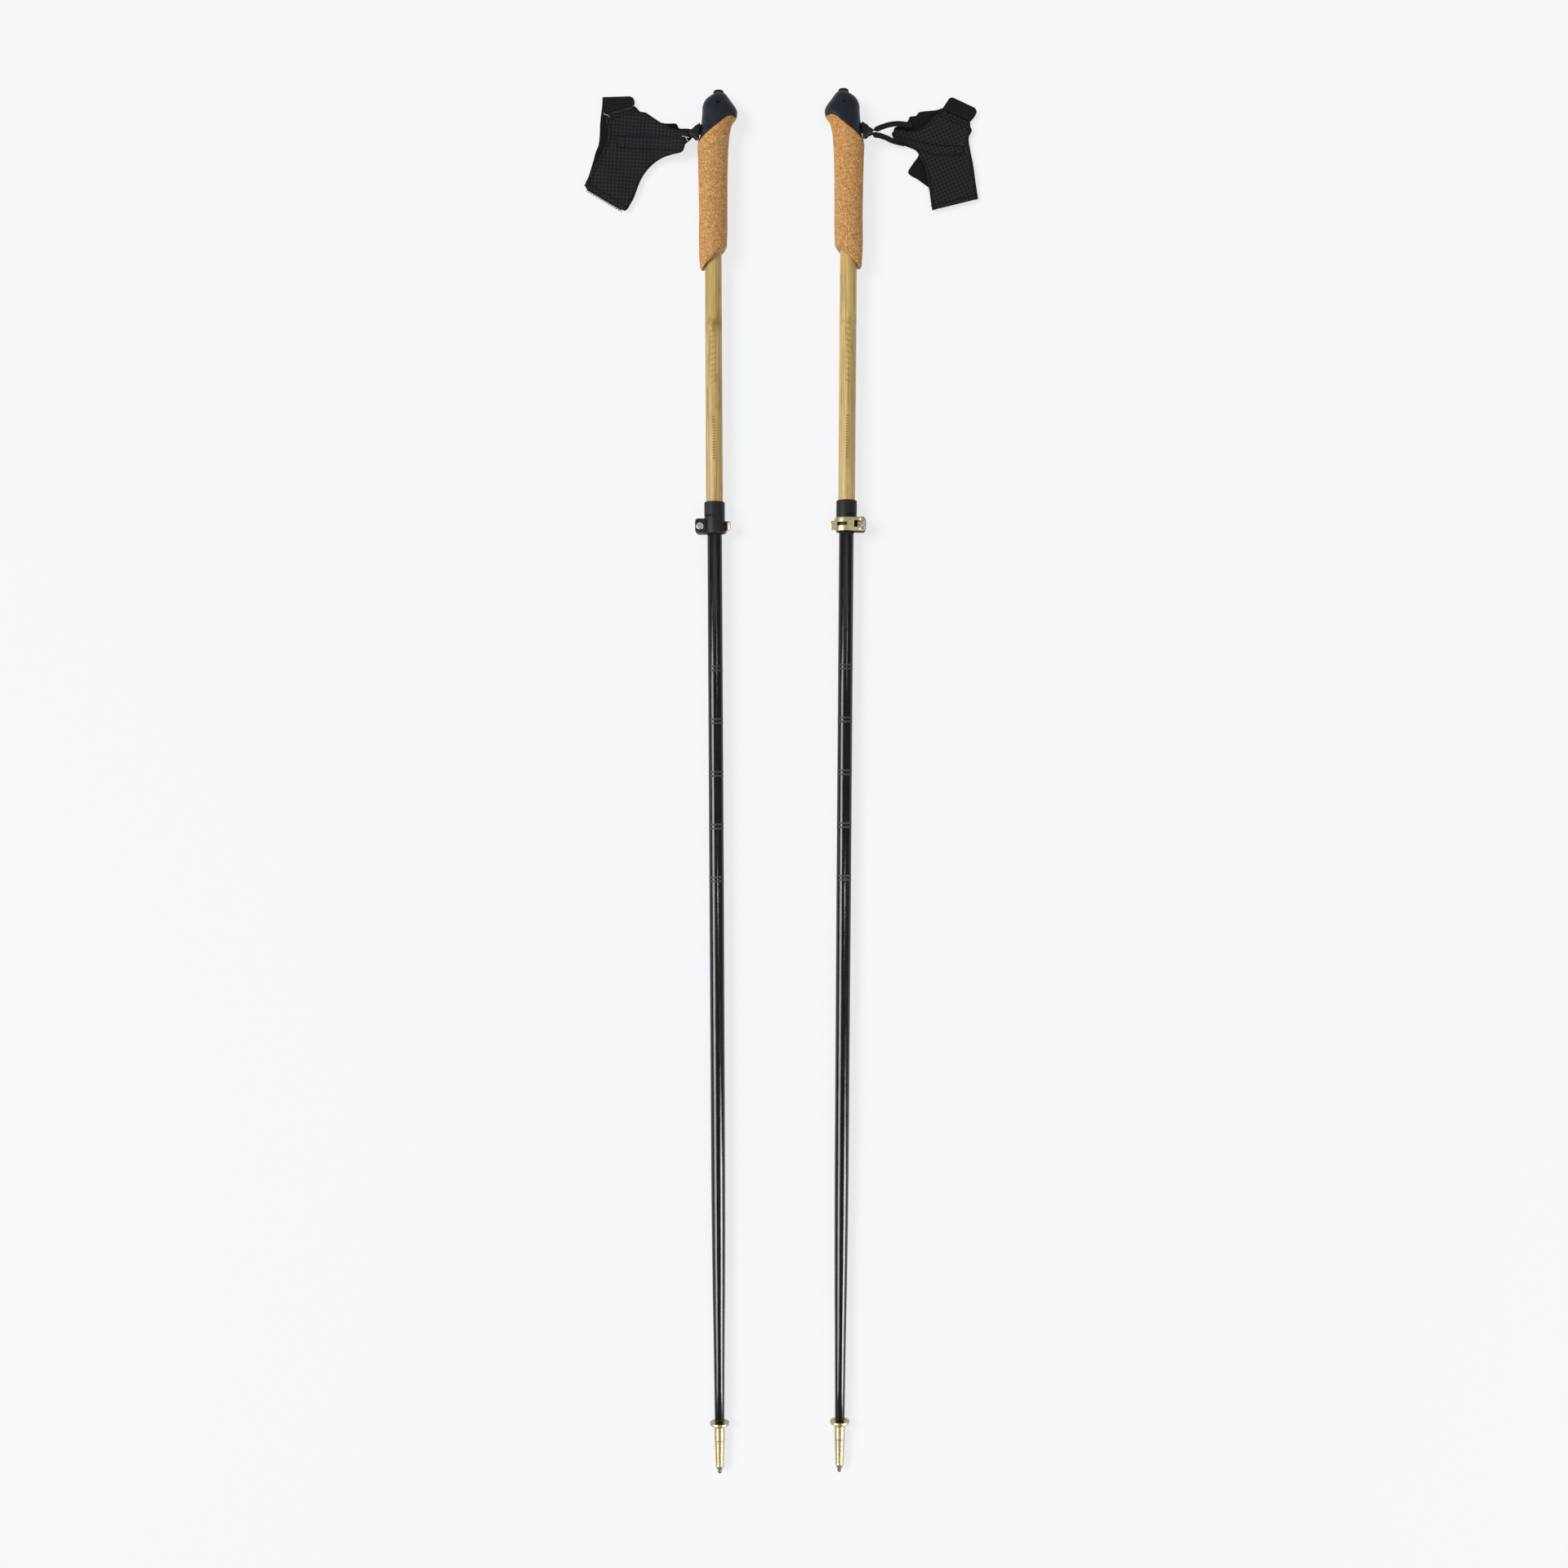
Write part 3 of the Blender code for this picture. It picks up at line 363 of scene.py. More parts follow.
# each row of bars: start and end above the tip, pitch and half height in mm, how strong it is, colour
PRINTS = ((1035.0, 1096.0, 5.4, 3.0, 0.42, "#7d7a2c"), (962.0, 1004.0, 2.6, 1.3, 0.75, "#2e281c"))


def slanted_bars(tree, axes, start, end, pitch, half_height, strength):
    """A mask of bars across the tube: y plus a slant of x, folded to the pitch, inside a window."""
    slant = maths(tree, "MULTIPLY_ADD", axes[0], 0.35, axes[1])
    fold = maths(tree, "PINGPONG", slant, pitch / 2)
    bars = stepped(tree, fold, pitch * 0.14, pitch * 0.22, 1.0, 0.0)
    reach = maths(tree, "ABSOLUTE", axes[0])
    within = stepped(tree, reach, half_height - 0.3, half_height, strength, 0.0)
    begin = stepped(tree, axes[1], start, start + 0.2)
    stop = stepped(tree, axes[1], end, end + 0.2, 1.0, 0.0)
    for other in (within, begin, stop):
        bars = maths(tree, "MULTIPLY", bars, other)
    return bars


def bamboo_finish():
    made, tree, shader = finish("bamboo_satin_lacquer", Roughness=0.42, IOR=1.5)
    place = in_mm(tree)
    axes = node(tree, "ShaderNodeSeparateXYZ", {0: place}).outputs
    angle = maths(tree, "ARCTAN2", axes[0], axes[2])
    turn = maths(tree, "MULTIPLY", angle, STRIPS / (2 * math.pi))
    strip = maths(tree, "FLOOR", turn)
    tone = node(tree, "ShaderNodeTexWhiteNoise", {"W": strip}, noise_dimensions="1D").outputs[0]
    body = blended(tree, tone, "#c8a762", "#b08d48")
    fibre = noise(tree, stretched(tree, place, (0.7, 0.012, 0.7)), 1.0, 4.0, Roughness=0.65)
    body = blended(tree, stepped(tree, fibre, 0.40, 0.62, 0.0, 0.8), body, "#dcc07c")
    thread = noise(tree, stretched(tree, place, (1.5, 0.02, 1.5)), 1.0, 2.0)
    body = blended(tree, stepped(tree, thread, 0.52, 0.66, 0.0, 0.7), body, "#7c6a2e")
    blotch = noise(tree, stretched(tree, place, (0.22, 0.05, 0.22)), 1.0, 4.0)
    from_knot = maths(tree, "ABSOLUTE", maths(tree, "SUBTRACT", axes[1], KNOT_AT))
    near = stepped(tree, from_knot, 3.0, 16.0, 0.13, 0.0)
    stain = maths(tree, "ADD", blotch, near)
    body = blended(tree, stepped(tree, stain, 0.58, 0.78, 0.0, 0.65), body, "#8f6426")
    ring = stepped(tree, from_knot, 0.4, 2.2, 0.22, 0.0)
    body = blended(tree, ring, body, "#6b5330")
    seam = maths(tree, "PINGPONG", turn, 0.5)
    body = blended(tree, stepped(tree, seam, 0.0, 0.035, 0.45, 0.0), body, "#6f5830")
    for start, end, pitch, half_height, strength, colour in PRINTS:
        body = blended(tree, slanted_bars(tree, axes, start, end, pitch, half_height, strength), body, colour)
    tree.links.new(body, shader.inputs["Base Color"])
    relief(tree, shader, thread, 0.05)
    return made


BAMBOO = bamboo_finish()
print("finish", BAMBOO.name, "with", STRIPS, "strips")

# %% [markdown]
# The lower shaft is a carbon-fibre tube under a clear gloss lacquer. It reads as near-black with one
# long bright line of light, broken only by the matt setting rings, two thin ones at every 50 mm. The
# wound fibre shows as a faint streaky mottle. Folding Y to the 50 mm pitch makes all the rings at once.

# %% Gloss carbon with matt setting rings
RING_FIRST, RING_LAST, RING_PITCH = 566.0, 766.0, 50.0
RING_APART, RING_WIDTH = 3.8, 1.7      # the two thin rings of a pair, from middle to middle, and how wide


def carbon_finish():
    made, tree, shader = finish("lacquered_carbon", IOR=1.45)
    place = in_mm(tree)
    height = node(tree, "ShaderNodeSeparateXYZ", {0: place}).outputs[1]
    from_first = maths(tree, "SUBTRACT", height, RING_FIRST)
    fold = maths(tree, "PINGPONG", from_first, RING_PITCH / 2)
    off = maths(tree, "ABSOLUTE", maths(tree, "SUBTRACT", fold, RING_APART / 2))
    ring = stepped(tree, off, RING_WIDTH / 2 - 0.1, RING_WIDTH / 2 + 0.1, 1.0, 0.0)
    above_first = stepped(tree, height, RING_FIRST - 6, RING_FIRST - 5)
    below_last = stepped(tree, height, RING_LAST + 5, RING_LAST + 6, 1.0, 0.0)
    for reach in (above_first, below_last):
        ring = maths(tree, "MULTIPLY", ring, reach)
    wound = noise(tree, stretched(tree, place, (0.5, 0.06, 0.5)), 1.0, 5.0)
    body = blended(tree, stepped(tree, wound, 0.4, 0.7), "#070709", "#131316")
    tree.links.new(blended(tree, ring, body, "#26262a"), shader.inputs["Base Color"])
    gloss = stepped(tree, wound, 0.3, 0.7, 0.09, 0.17)
    rough = node(tree, "ShaderNodeMix", {0: ring, 2: gloss, 3: 0.6}).outputs[0]
    tree.links.new(rough, shader.inputs["Roughness"])
    relief(tree, shader, maths(tree, "SUBTRACT", wound, ring), 0.03)
    return made


CARBON = carbon_finish()
print("finish", CARBON.name, "with rings from", RING_FIRST, "to", RING_LAST)

# %% [markdown]
# The other hard parts are a soft-touch moulded head, glass-filled nylon for the clamp and button,
# champagne anodised aluminium for the lever and ferrule, plated steel, and a ground carbide tip. Each
# moulded part has a fine spark-eroded grain, and each metal faint lines from turning or tumbling.


# %% Moulded plastics
def moulded_finish(name, dark, light, roughness, grain_mm, depth_mm):
    """Two close tones in soft clouds, and a grain of the given size, in relief and in roughness."""
    made, tree, shader = finish(name, IOR=1.35)
    place = in_mm(tree)
    cloud = noise(tree, place, 0.12, 3.0)
    tree.links.new(blended(tree, stepped(tree, cloud, 0.35, 0.7), dark, light), shader.inputs["Base Color"])
    grain = noise(tree, place, 1 / grain_mm, 2.0)
    matt = stepped(tree, grain, 0.3, 0.7, roughness - 0.06, roughness + 0.06)
    tree.links.new(matt, shader.inputs["Roughness"])
    relief(tree, shader, grain, depth_mm)
    return made


HEAD = moulded_finish("soft_touch_rubber", "#151b23", "#1e252e", 0.48, 0.8, 0.05)
NYLON = moulded_finish("glass_filled_nylon", "#0d0e11", "#151619", 0.50, 0.6, 0.04)
BUTTON = moulded_finish("moulded_button_nylon", "#171a1f", "#21242a", 0.42, 0.6, 0.04)
print("finishes", HEAD.name, NYLON.name, BUTTON.name)


# %% Metals
def metal_finish(name, dark, light, roughness, line_mm):
    """A metal with fine lines along Y, which a Mapping node squeezes out of noise."""
    made, tree, shader = finish(name, Metallic=1.0)
    place = in_mm(tree)
    lines = node(tree, "ShaderNodeMapping", {"Vector": place, "Scale": (0.05, 1 / line_mm, 0.05)})
    line = noise(tree, lines.outputs[0], 1.0, 3.0)
    tree.links.new(blended(tree, stepped(tree, line, 0.35, 0.7), dark, light), shader.inputs["Base Color"])
    matt = stepped(tree, line, 0.3, 0.7, roughness - 0.04, roughness + 0.04)
    tree.links.new(matt, shader.inputs["Roughness"])
    relief(tree, shader, line, 0.001)
    return made


GOLD = metal_finish("champagne_anodised_aluminium", "#a99c75", "#b8ac88", 0.37, 0.5)
STEEL = metal_finish("plated_steel", "#b8b8b6", "#d2d2d0", 0.3, 0.6)
CARBIDE = metal_finish("ground_carbide", "#55554f", "#7a7970", 0.38, 0.4)
BLACKENED = metal_finish("blackened_pin_steel", "#26282b", "#34363a", 0.42, 0.4)
print("finishes", GOLD.name, STEEL.name, CARBIDE.name, BLACKENED.name)

# %% [markdown]
# The two tubes, the ferrule and the tip were turned or drawn, so each is a profile carried round the
# axis. The upper tube is open at the top for the head's neck; the lower one tapers to its ferrule and
# ends in a spigot. A profile's corners are softened, because a real edge always catches some light.

# %% Upper and lower shafts
UPPER = [(7.4, 912.0), (8.0, 912.0), (8.0, 1266.0), (7.4, 1266.0)]
# the lower tube: how far from the tip, its radius there, and its bore's radius
TAPER = [(925.7, 7.0, 6.0), (546, 7.0, 6.0), (282, 6.7, 5.7), (235, 6.45, 5.4), (173, 5.95, 4.8),
         (142, 5.5, 4.3), (111, 5.15, 3.9), (80, 4.85, 3.5), (50, 4.62, 3.0)]
SPIGOT = [(3.6, 49.9), (3.6, 30.0), (2.5, 30.0)]
LOWER = [(6.0, 925.7)] + [(outside, up) for up, outside, bore in TAPER] + SPIGOT
LOWER += [(bore, up) for up, outside, bore in TAPER[:0:-1]]

upper = turned("upper", softened(UPPER, 0.25, closed=True), closed=True)
on_both_poles(upper, "upper_shaft", "poles", BAMBOO)
lower = turned("lower", softened(LOWER, 0.3, closed=True), closed=True)
on_both_poles(lower, "lower_shaft", "lower_tube", CARBON)

# %% Ferrule and tip
FERRULE = [(0.0, 49.0), (9.2, 49.0), (9.2, 46.9), (8.6, 46.2), (6.0, 45.6), (4.9, 44.4), (4.9, 32.2),
           (4.7, 31.6), (3.75, 8.6), (4.0, 8.2), (4.0, 7.2), (3.6, 6.8), (2.7, 4.0), (2.25, 4.0),
           (2.25, 15.85), (0.0, 15.85)]
TIP = [(0.0, 15.5), (1.9, 15.5), (1.9, 1.2), (1.4, 0.35), (0.7, 0.0), (0.0, 0.0)]

ferrule = turned("ferrule", softened(FERRULE, 0.45))
carve(ferrule, rod("ferrule_bore", 3.95, 29.65, 60, 64))
mouth = [(0, 48.2), (5.1, 48.2), (6.0, 49.4), (6.0, 60), (0, 60)]
carve(ferrule, turned("ferrule_mouth", mouth, 64))
on_both_poles(ferrule, "ferrule", "lower_tube", GOLD)
on_both_poles(turned("tip", softened(TIP, 0.25), around=40), "carbide_tip", "lower_tube", CARBIDE)

# %% [markdown]
# The grip is two mouldings that meet at a slanted, sagging joint: a rubber head above and a cork
# sleeve below. Both are oval in section, and each oval is tilted, with its front point higher than its
# rear one. So a section is an oval between those two points, and a table of sections is made smooth
# and skinned. At the joint and the ends the ovals shrink a little, which rounds the edges.

# %% Sections of the grip
GRIP_WIDTH = 37.0
SAG = [(0.0, 0.0), (0.16, 3.3), (0.28, 3.6), (0.42, 2.2), (0.57, 1.6), (0.76, 1.2), (1.0, 0.0)]
SAG = flowing(np.array(SAG) * [GRIP_WIDTH, 1], 60) / [GRIP_WIDTH, 1]
# front x, front y, rear x, rear y, half thickness, share of the joint's sag
HEAD_SECTIONS = [(-23.0, 1288.4, 14.0, 1264.6, 13.2, 1.0), (-23.6, 1292.3, 11.8, 1271.0, 13.2, 0.7),
                 (-22.9, 1296.2, 10.5, 1283.0, 12.8, 0.3), (-20.6, 1300.0, 9.6, 1293.0, 12.2, 0.1),
                 (-18.0, 1303.6, 9.1, 1300.0, 11.2, 0.0), (-15.2, 1307.6, 6.4, 1305.2, 9.6, 0.0),
                 (-13.0, 1310.4, 2.2, 1308.6, 7.4, 0.0), (-11.9, 1311.4, 0.2, 1310.0, 5.6, 0.0)]
CORK_SECTIONS = [(-11.4, 1164.2, 11.0, 1144.2, 11.6, 0.0), (-12.8, 1166.0, 12.3, 1145.8, 13.2, 0.0),
                 (-13.2, 1171.0, 12.9, 1152.0, 13.7, 0.0), (-13.8, 1206.0, 13.2, 1200.0, 14.0, 0.0),
                 (-14.4, 1245.0, 13.7, 1238.0, 14.0, 0.0), (-15.3, 1263.0, 14.0, 1252.0, 13.8, 0.1),
                 (-16.9, 1276.0, 14.3, 1258.0, 13.6, 0.4), (-19.2, 1283.4, 14.3, 1261.6, 13.4, 0.8),
                 (-22.7, 1287.6, 13.8, 1264.0, 13.0, 1.0)]


def ovals(sections, keep, lift, around=96):
    """Rings of points. With a the angle and along = (1 - keep cos a) / 2, a point lies that share of
    the way from front to rear, at half x keep x sin a across. A keep below 1 shrinks the ring."""
    front_x, front_y, rear_x, rear_y, half, share = np.asarray(sections, float).T[:, :, None]
    keep, lift = np.asarray(keep, float)[:, None], np.asarray(lift, float)[:, None]
    angle = np.linspace(0, 2 * math.pi, around, endpoint=False)[None, :]
    along = (1 - keep * np.cos(angle)) / 2
    x = front_x + (rear_x - front_x) * along
    y = front_y + (rear_y - front_y) * along + share * np.interp(along, SAG[:, 0], SAG[:, 1]) + lift
    return np.stack([x, y, half * keep * np.sin(angle)], axis=-1)


print("the joint sags by", round(float(SAG[:, 1].max()), 2), "mm at most")

# %% The head, with wells for the button and its spring, the strap's socket and the neck
PIN_X, PIN_Y = -5.7, 1299.0
PIN_AT = (PIN_X, PIN_Y, 0)
SPRING_X = -2.5
CLIP_DEG, CLIP_ROOT = -22.0, np.array([10.5, 1278.0])
CLIP_AXES = np.array([[math.cos(math.radians(CLIP_DEG)), math.sin(math.radians(CLIP_DEG))],
                      [-math.sin(math.radians(CLIP_DEG)), math.cos(math.radians(CLIP_DEG))]])


def clip_plan(start, end, half_width):
    """The corners of a strip that runs along the strap's clip, from start to end, in the pole's X and Y."""
    corners = [(start, -half_width), (end, -half_width), (end, half_width), (start, half_width)]
    return np.array(corners) @ CLIP_AXES + CLIP_ROOT


# the rings below and above the head's own sections close its ends: how much each shrinks and rises
rows = flowing(HEAD_SECTIONS, 44)
head_rows = np.vstack([rows[:1]] * 4 + [rows[1:]] + [rows[-1:]] * 5)
head_keep = [0, 0.5, 0.955, 0.985] + [1.0] * (len(rows) - 1) + [0.985, 0.93, 0.82, 0.55, 0]
head_lift = [0.25, 0.25, 0.05, 0.25] + [0.0] * (len(rows) - 1) + [0.35, 0.8, 1.15, 1.35, 1.4]
head = skin("head", ovals(head_rows, head_keep, head_lift))
carve(head, rod("neck", 7.0, 1262, 1278, 64), "UNION")
carve(head, block("cap_well", (-11.65, 1304.2, -4.55), (-0.35, 1330, 4.55), 2.0, 1.2))
carve(head, block("stem_well", (-8.95, 1285.0, -2.75), (-2.45, 1308, 2.75), 0.4, 0.2))
for low, high in (((-8.35, 1282.65, -2.75), (-4.35, 1289.5, 2.75)),
                  ((-6.2, 1271.15, -2.7), (-4.35, 1286.5, 2.7)),
                  ((-6.2, 1271.15, -2.75), (0.75, 1277.35, 2.75))):
    carve(head, block("lower_well", low, high, 0.2, 0.1))
carve(head, rod("spring_well", 3.25, 1267.75, 1275, 48, centre=(SPRING_X, 0, 0)))
carve(head, slab("socket", clip_plan(-13.35, 20.0, 4.35), -2.05, 2.05, 0.2))
for low, high in ((-20.0, -9.6), (9.6, 20.0)):
    carve(head, rod("pin_hole", 1.5, low, high, 32, "Z", PIN_AT))
carve(head, rod("pin_bore", 1.28, -20, 20, 32, "Z", PIN_AT))
on_both_poles(head, "grip_head", "poles", HEAD, 40)

# %% The cork sleeve, bored for the tube
CORK_BORE = 8.35
rows = flowing(CORK_SECTIONS, 70)
cork_rows = np.vstack([rows] + [rows[-1:]] * 3)
cork = ovals(cork_rows, [1.0] * len(rows) + [0.985, 0.965, 0.93], [0.0] * len(rows) + [0.22, 0.3, 0.3])


def bore_ring(section, lift):
    """The bore's rim: a circle about the axis, on the plane and sag of that section."""
    front_x, front_y, rear_x, rear_y, _, share = section
    angle = np.linspace(0, 2 * math.pi, cork.shape[1], endpoint=False)
    x, z = -CORK_BORE * np.cos(angle), CORK_BORE * np.sin(angle)
    along = (x - front_x) / (rear_x - front_x)
    y = front_y + (rear_y - front_y) * along + share * np.interp(along, SAG[:, 0], SAG[:, 1]) + lift
    return np.stack([x, y, z], axis=-1)[None]


bore_mouth = bore_ring(rows[0], 0.6) * [1.05, 1, 1.05]
cork = np.concatenate([cork, bore_ring(rows[-1], 0.0), bore_ring(rows[0], 1.2), bore_mouth])
cork = skin("cork", cork, closed_rows=True)
on_both_poles(cork, "cork_grip", "poles", CORK, 50)

# %% [markdown]
# The button is one moulding: a domed cap on a stem that slides in the head, with a foot that carries
# the catch. One steel pin through the head keeps it in. The dome is a stack of rings whose outline is
# between an oval and an oblong, and the stem is joined to it, so that the whole slides in its well.

# %% Button and guide pin
CAP_Y, CAP_TOP, CAP_MID_X, CAP_HALF_X, CAP_HALF_Z = 1309.6, 1315.0, -6.0, 5.2, 4.1


def cap_dome(around=64, steps=14):
    """A domed cap: a superellipse |x|^3 + |z|^3 in plan, shrinking as the arc cos t rises as sin t."""
    angle = np.linspace(0, 2 * math.pi, around, endpoint=False)[None, :]
    plan = [np.sign(f) * np.abs(f) ** (2 / 3) for f in (np.cos(angle), np.sin(angle))]
    t = np.linspace(0, math.pi / 2, steps)
    share = np.concatenate([[0.0, 1.0], np.cos(t) ** 0.55])[:, None]
    level = np.concatenate([[CAP_Y, CAP_Y], CAP_Y + 1.6 + (CAP_TOP - CAP_Y - 1.6) * np.sin(t)])[:, None]
    x, z = CAP_MID_X + CAP_HALF_X * share * plan[0], CAP_HALF_Z * share * plan[1]
    return np.stack([x, level + 0 * angle, z], axis=-1)


button = skin("button", cap_dome())
for low, high in (((-8.6, 1289, -2.4), (-2.8, 1310.5, 2.4)), ((-8.0, 1286, -2.3), (-4.7, 1290, 2.3)),
                  ((-6.0, 1275.5, -2.2), (-4.8, 1287, 2.2)), ((-5.9, 1274.5, -2.4), (0.4, 1277, 2.4))):
    carve(button, block("button_part", low, high, 0.3, 0.2), "UNION")
carve(button, block("pin_slot", (PIN_X - 1.55, PIN_Y - 1.55, -5), (PIN_X + 1.55, PIN_Y + 4.55, 5), 1.0, 0.1))
on_both_poles(button, "release_button", "button", BUTTON, 40)

pin = softened([(0, -11.4), (1.2, -11.4), (1.2, 11.4), (0, 11.4)], 0.3)
pin = turned("pin", pin, 32, axis="Z", centre=PIN_AT)
on_both_poles(pin, "guide_pin", "poles", BLACKENED)

# %% [markdown]
# The lever clamp has a nylon sleeve glued to the upper tube. Below a cross cut it is a split band that
# the lever squeezes round the lower tube, with two ears for the screw. The sleeve is turned, the ears
# are rounded slabs joined to it, and the slit, the cross cut and the screw's recess are cut out.

# %% Clamp sleeve
SCREW_X, CLAMP_MID, PIVOT_Z = 13.8, 901.0, 9.0
SCREW_AT, PIVOT_AT = (SCREW_X, CLAMP_MID, 0), (SCREW_X, CLAMP_MID, PIVOT_Z)
SLEEVE = [(7.35, 894.0), (9.8, 894.0), (9.8, 924.0), (8.35, 924.0), (8.35, 911.4), (7.35, 911.4)]

sleeve = turned("sleeve", softened(SLEEVE, 1.3, closed=True), closed=True)
ear_plan = softened([(7.7, 894.4), (18.3, 894.4), (18.3, 908.0), (7.7, 908.0)], 3.2, 8, True)
for low, high in ((-6.5, -1.0), (1.0, 4.6)):
    carve(sleeve, slab("ear", ear_plan, low, high, 0.7), "UNION")
carve(sleeve, block("slit", (4.0, 890, -1.0), (20, 911.0, 1.0), 0.1, 0.05))
carve(sleeve, block("cross_cut", (1.0, 910.2, -12), (20, 911.2, 12), 0.1, 0.05))
carve(sleeve, rod("screw_hole", 1.75, -10, 10, 40, "Z", SCREW_AT))
recess = [(0, -4), (3.9, -4), (3.9, -6.0), (4.3, -6.8), (4.3, -10), (0, -10)]
carve(sleeve, turned("recess", recess, 64, axis="Z", centre=SCREW_AT))
on_both_poles(sleeve, "clamp_sleeve", "poles", NYLON, 38)


# %% Screw, pressure plate and nut
def about_screw(half_x, half_y, low, high):
    """The two corners of a box whose middle is on the screw's axis."""
    return (SCREW_X - half_x, CLAMP_MID - half_y, low), (SCREW_X + half_x, CLAMP_MID + half_y, high)


screw = softened([(0, -6.2), (3.5, -6.2), (3.5, -4.3), (1.25, -4.3), (1.25, 9.2), (0, 9.2)], 0.5)
screw = turned("screw", screw, 64, axis="Z", centre=SCREW_AT)
for half_x, half_y in ((2.3, 0.62), (0.62, 2.3)):
    carve(screw, block("cross", *about_screw(half_x, half_y, -7, -4.75), 0.3, 0.12))
on_both_poles(screw, "clamp_screw", "screw", STEEL)

plate = block("plate", (10.3, 895.3, 4.95), (17.6, 906.7, 5.75), 1.2, 0.25)
carve(plate, rod("plate_hole", 1.75, 0, 9, 40, "Z", SCREW_AT))
on_both_poles(plate, "pressure_plate", "poles", STEEL)

diamond = np.array([(-2.76, 0), (0, -2.76), (2.76, 0), (0, 2.76)]) + SCREW_AT[:2]
nut = slab("nut", softened(diamond, 0.5, closed=True), 6.9, 11.3, 0.35)
trunnion = softened([(0, -6.2), (1.5, -6.2), (1.5, 6.2), (0, 6.2)], 0.3)
carve(nut, turned("trunnion", trunnion, 40, centre=PIVOT_AT), "UNION")
carve(nut, rod("thread", 1.45, 0, 9.5, 40, "Z", SCREW_AT))
carve(nut, block("nut_recess", *about_screw(1.1, 1.1, 10.4, 13), 0.3, 0.1))
on_both_poles(nut, "lever_nut", "poles", GOLD)

# %% [markdown]
# The lever is one bent strip of anodised aluminium: a fork over the nut with an eye on each prong, a
# sweep round the sleeve, and a flared tab to lift. A rounded oblong section is carried along its
# middle line, always square to it, and narrows towards the tab. The window, the eyes' holes and the
# slot in its back are cut through afterwards, because they run across that line.

# %% Lever
LEVER_R, LEVER_THICK, LEVER_HALF, TAB_NARROWER = 11.2, 2.0, 6.5, 2.1


def lever_skin(steps=90):
    """At each step the section's point (w, t) goes to middle + w Y + t n, n being the line's normal."""
    arc = np.radians(np.linspace(75, 185, 12))
    line = np.vstack([[(SCREW_X, PIVOT_Z), (11.2, 9.55), (8.4, 9.95)],
                      LEVER_R * np.stack([np.cos(arc), np.sin(arc)], axis=1),
                      [(-12.1, -3.2), (-13.6, -4.8), (-15.3, -5.6)]])
    line = flowing(line, steps)
    along = np.gradient(line, axis=0)
    normal = np.stack([-along[:, 1], along[:, 0]], axis=1) / np.linalg.norm(along, axis=1)[:, None]
    far = np.linspace(0, 1, steps)
    narrowed, rounded = np.clip((far - 0.62) / 0.2, 0, 1), np.clip((far - 0.94) / 0.06, 0, 1)
    half = LEVER_HALF - TAB_NARROWER * narrowed ** 2 * (3 - 2 * narrowed)
    half = half * (0.55 + 0.45 * np.sqrt(1 - rounded ** 2))
    edge = softened([(-LEVER_HALF, -1), (LEVER_HALF, -1), (LEVER_HALF, 1), (-LEVER_HALF, 1)], 0.75, 5, True)
    inset = LEVER_HALF - np.abs(edge[:, 0])
    size = np.ones((steps, 1))
    size[[0, -1]] = 0.0                      # both ends close to a point
    wide = size * np.sign(edge[:, 0]) * (half[:, None] - inset)
    thick = size * edge[:, 1] * LEVER_THICK / 2
    x, z = (line[:, None, k] + normal[:, None, k] * thick for k in (0, 1))
    return np.stack([x, CLAMP_MID + wide, z], axis=-1)


lever = skin("lever", lever_skin())
for low, high in ((-LEVER_HALF, -2.95), (2.95, LEVER_HALF)):
    eye = softened([(0, low), (2.9, low), (2.9, high), (0, high)], 0.5)
    carve(lever, turned("eye", eye, 64, centre=PIVOT_AT), "UNION")
carve(lever, block("window", (6.8, CLAMP_MID - 3.2, 0), (20, CLAMP_MID + 3.2, 15), 0.7, 0.1))
carve(lever, rod("pivot_hole", 1.85, -9, 9, 40, centre=PIVOT_AT))
carve(lever, block("slot", (-9.4, CLAMP_MID - 1.75, 5), (0.2, CLAMP_MID + 1.75, 15), 1.6, 0.1))
on_both_poles(lever, "clamp_lever", "lever", GOLD, 32)

# %% [markdown]
# The strap clips into the head with a moulded nylon connector: a tongue, a block with grip ribs and two
# arms that hold a bar for the strap. The block is a slab of its own outline. The tongue and the bar are
# joined to it, the gap between the arms is cut, and shallow grooves leave the ribs standing.

# %% Strap connector
CLIP_OUTLINE = [(11.4, 1283.0), (12.9, 1269.4), (14.8, 1268.8), (16.4, 1269.0), (17.6, 1270.2),
                (18.4, 1271.4), (20.6, 1271.8), (21.8, 1272.6), (22.3, 1274.0), (22.0, 1275.2),
                (20.8, 1276.3), (18.6, 1277.3), (16.9, 1279.5), (14.3, 1281.0)]
BAR_AT = np.array([[10.3, 0.0]]) @ CLIP_AXES + CLIP_ROOT

clip = slab("clip", softened(CLIP_OUTLINE, 1.3, 6, closed=True), -4.6, 4.6, 0.4)
carve(clip, slab("tongue", clip_plan(-13.0, 4.0, 4.0), -1.7, 1.7, 0.4), "UNION")
for along in (2.0, 3.3, 4.6, 5.9):
    for low, high in ((4.25, 6.0), (-6.0, -4.25)):
        carve(clip, slab("groove", clip_plan(along, along + 0.55, 4.2), low, high, 0.05))
carve(clip, slab("eye_gap", clip_plan(7.3, 16.0, 9.0), -2.9, 2.9, 0.1))
carve(clip, rod("eye_bar", 1.2, -3.6, 3.6, 32, "Z", (BAR_AT[0, 0], BAR_AT[0, 1], 0)), "UNION")
on_both_poles(clip, "strap_connector", "connector", BUTTON, 38)
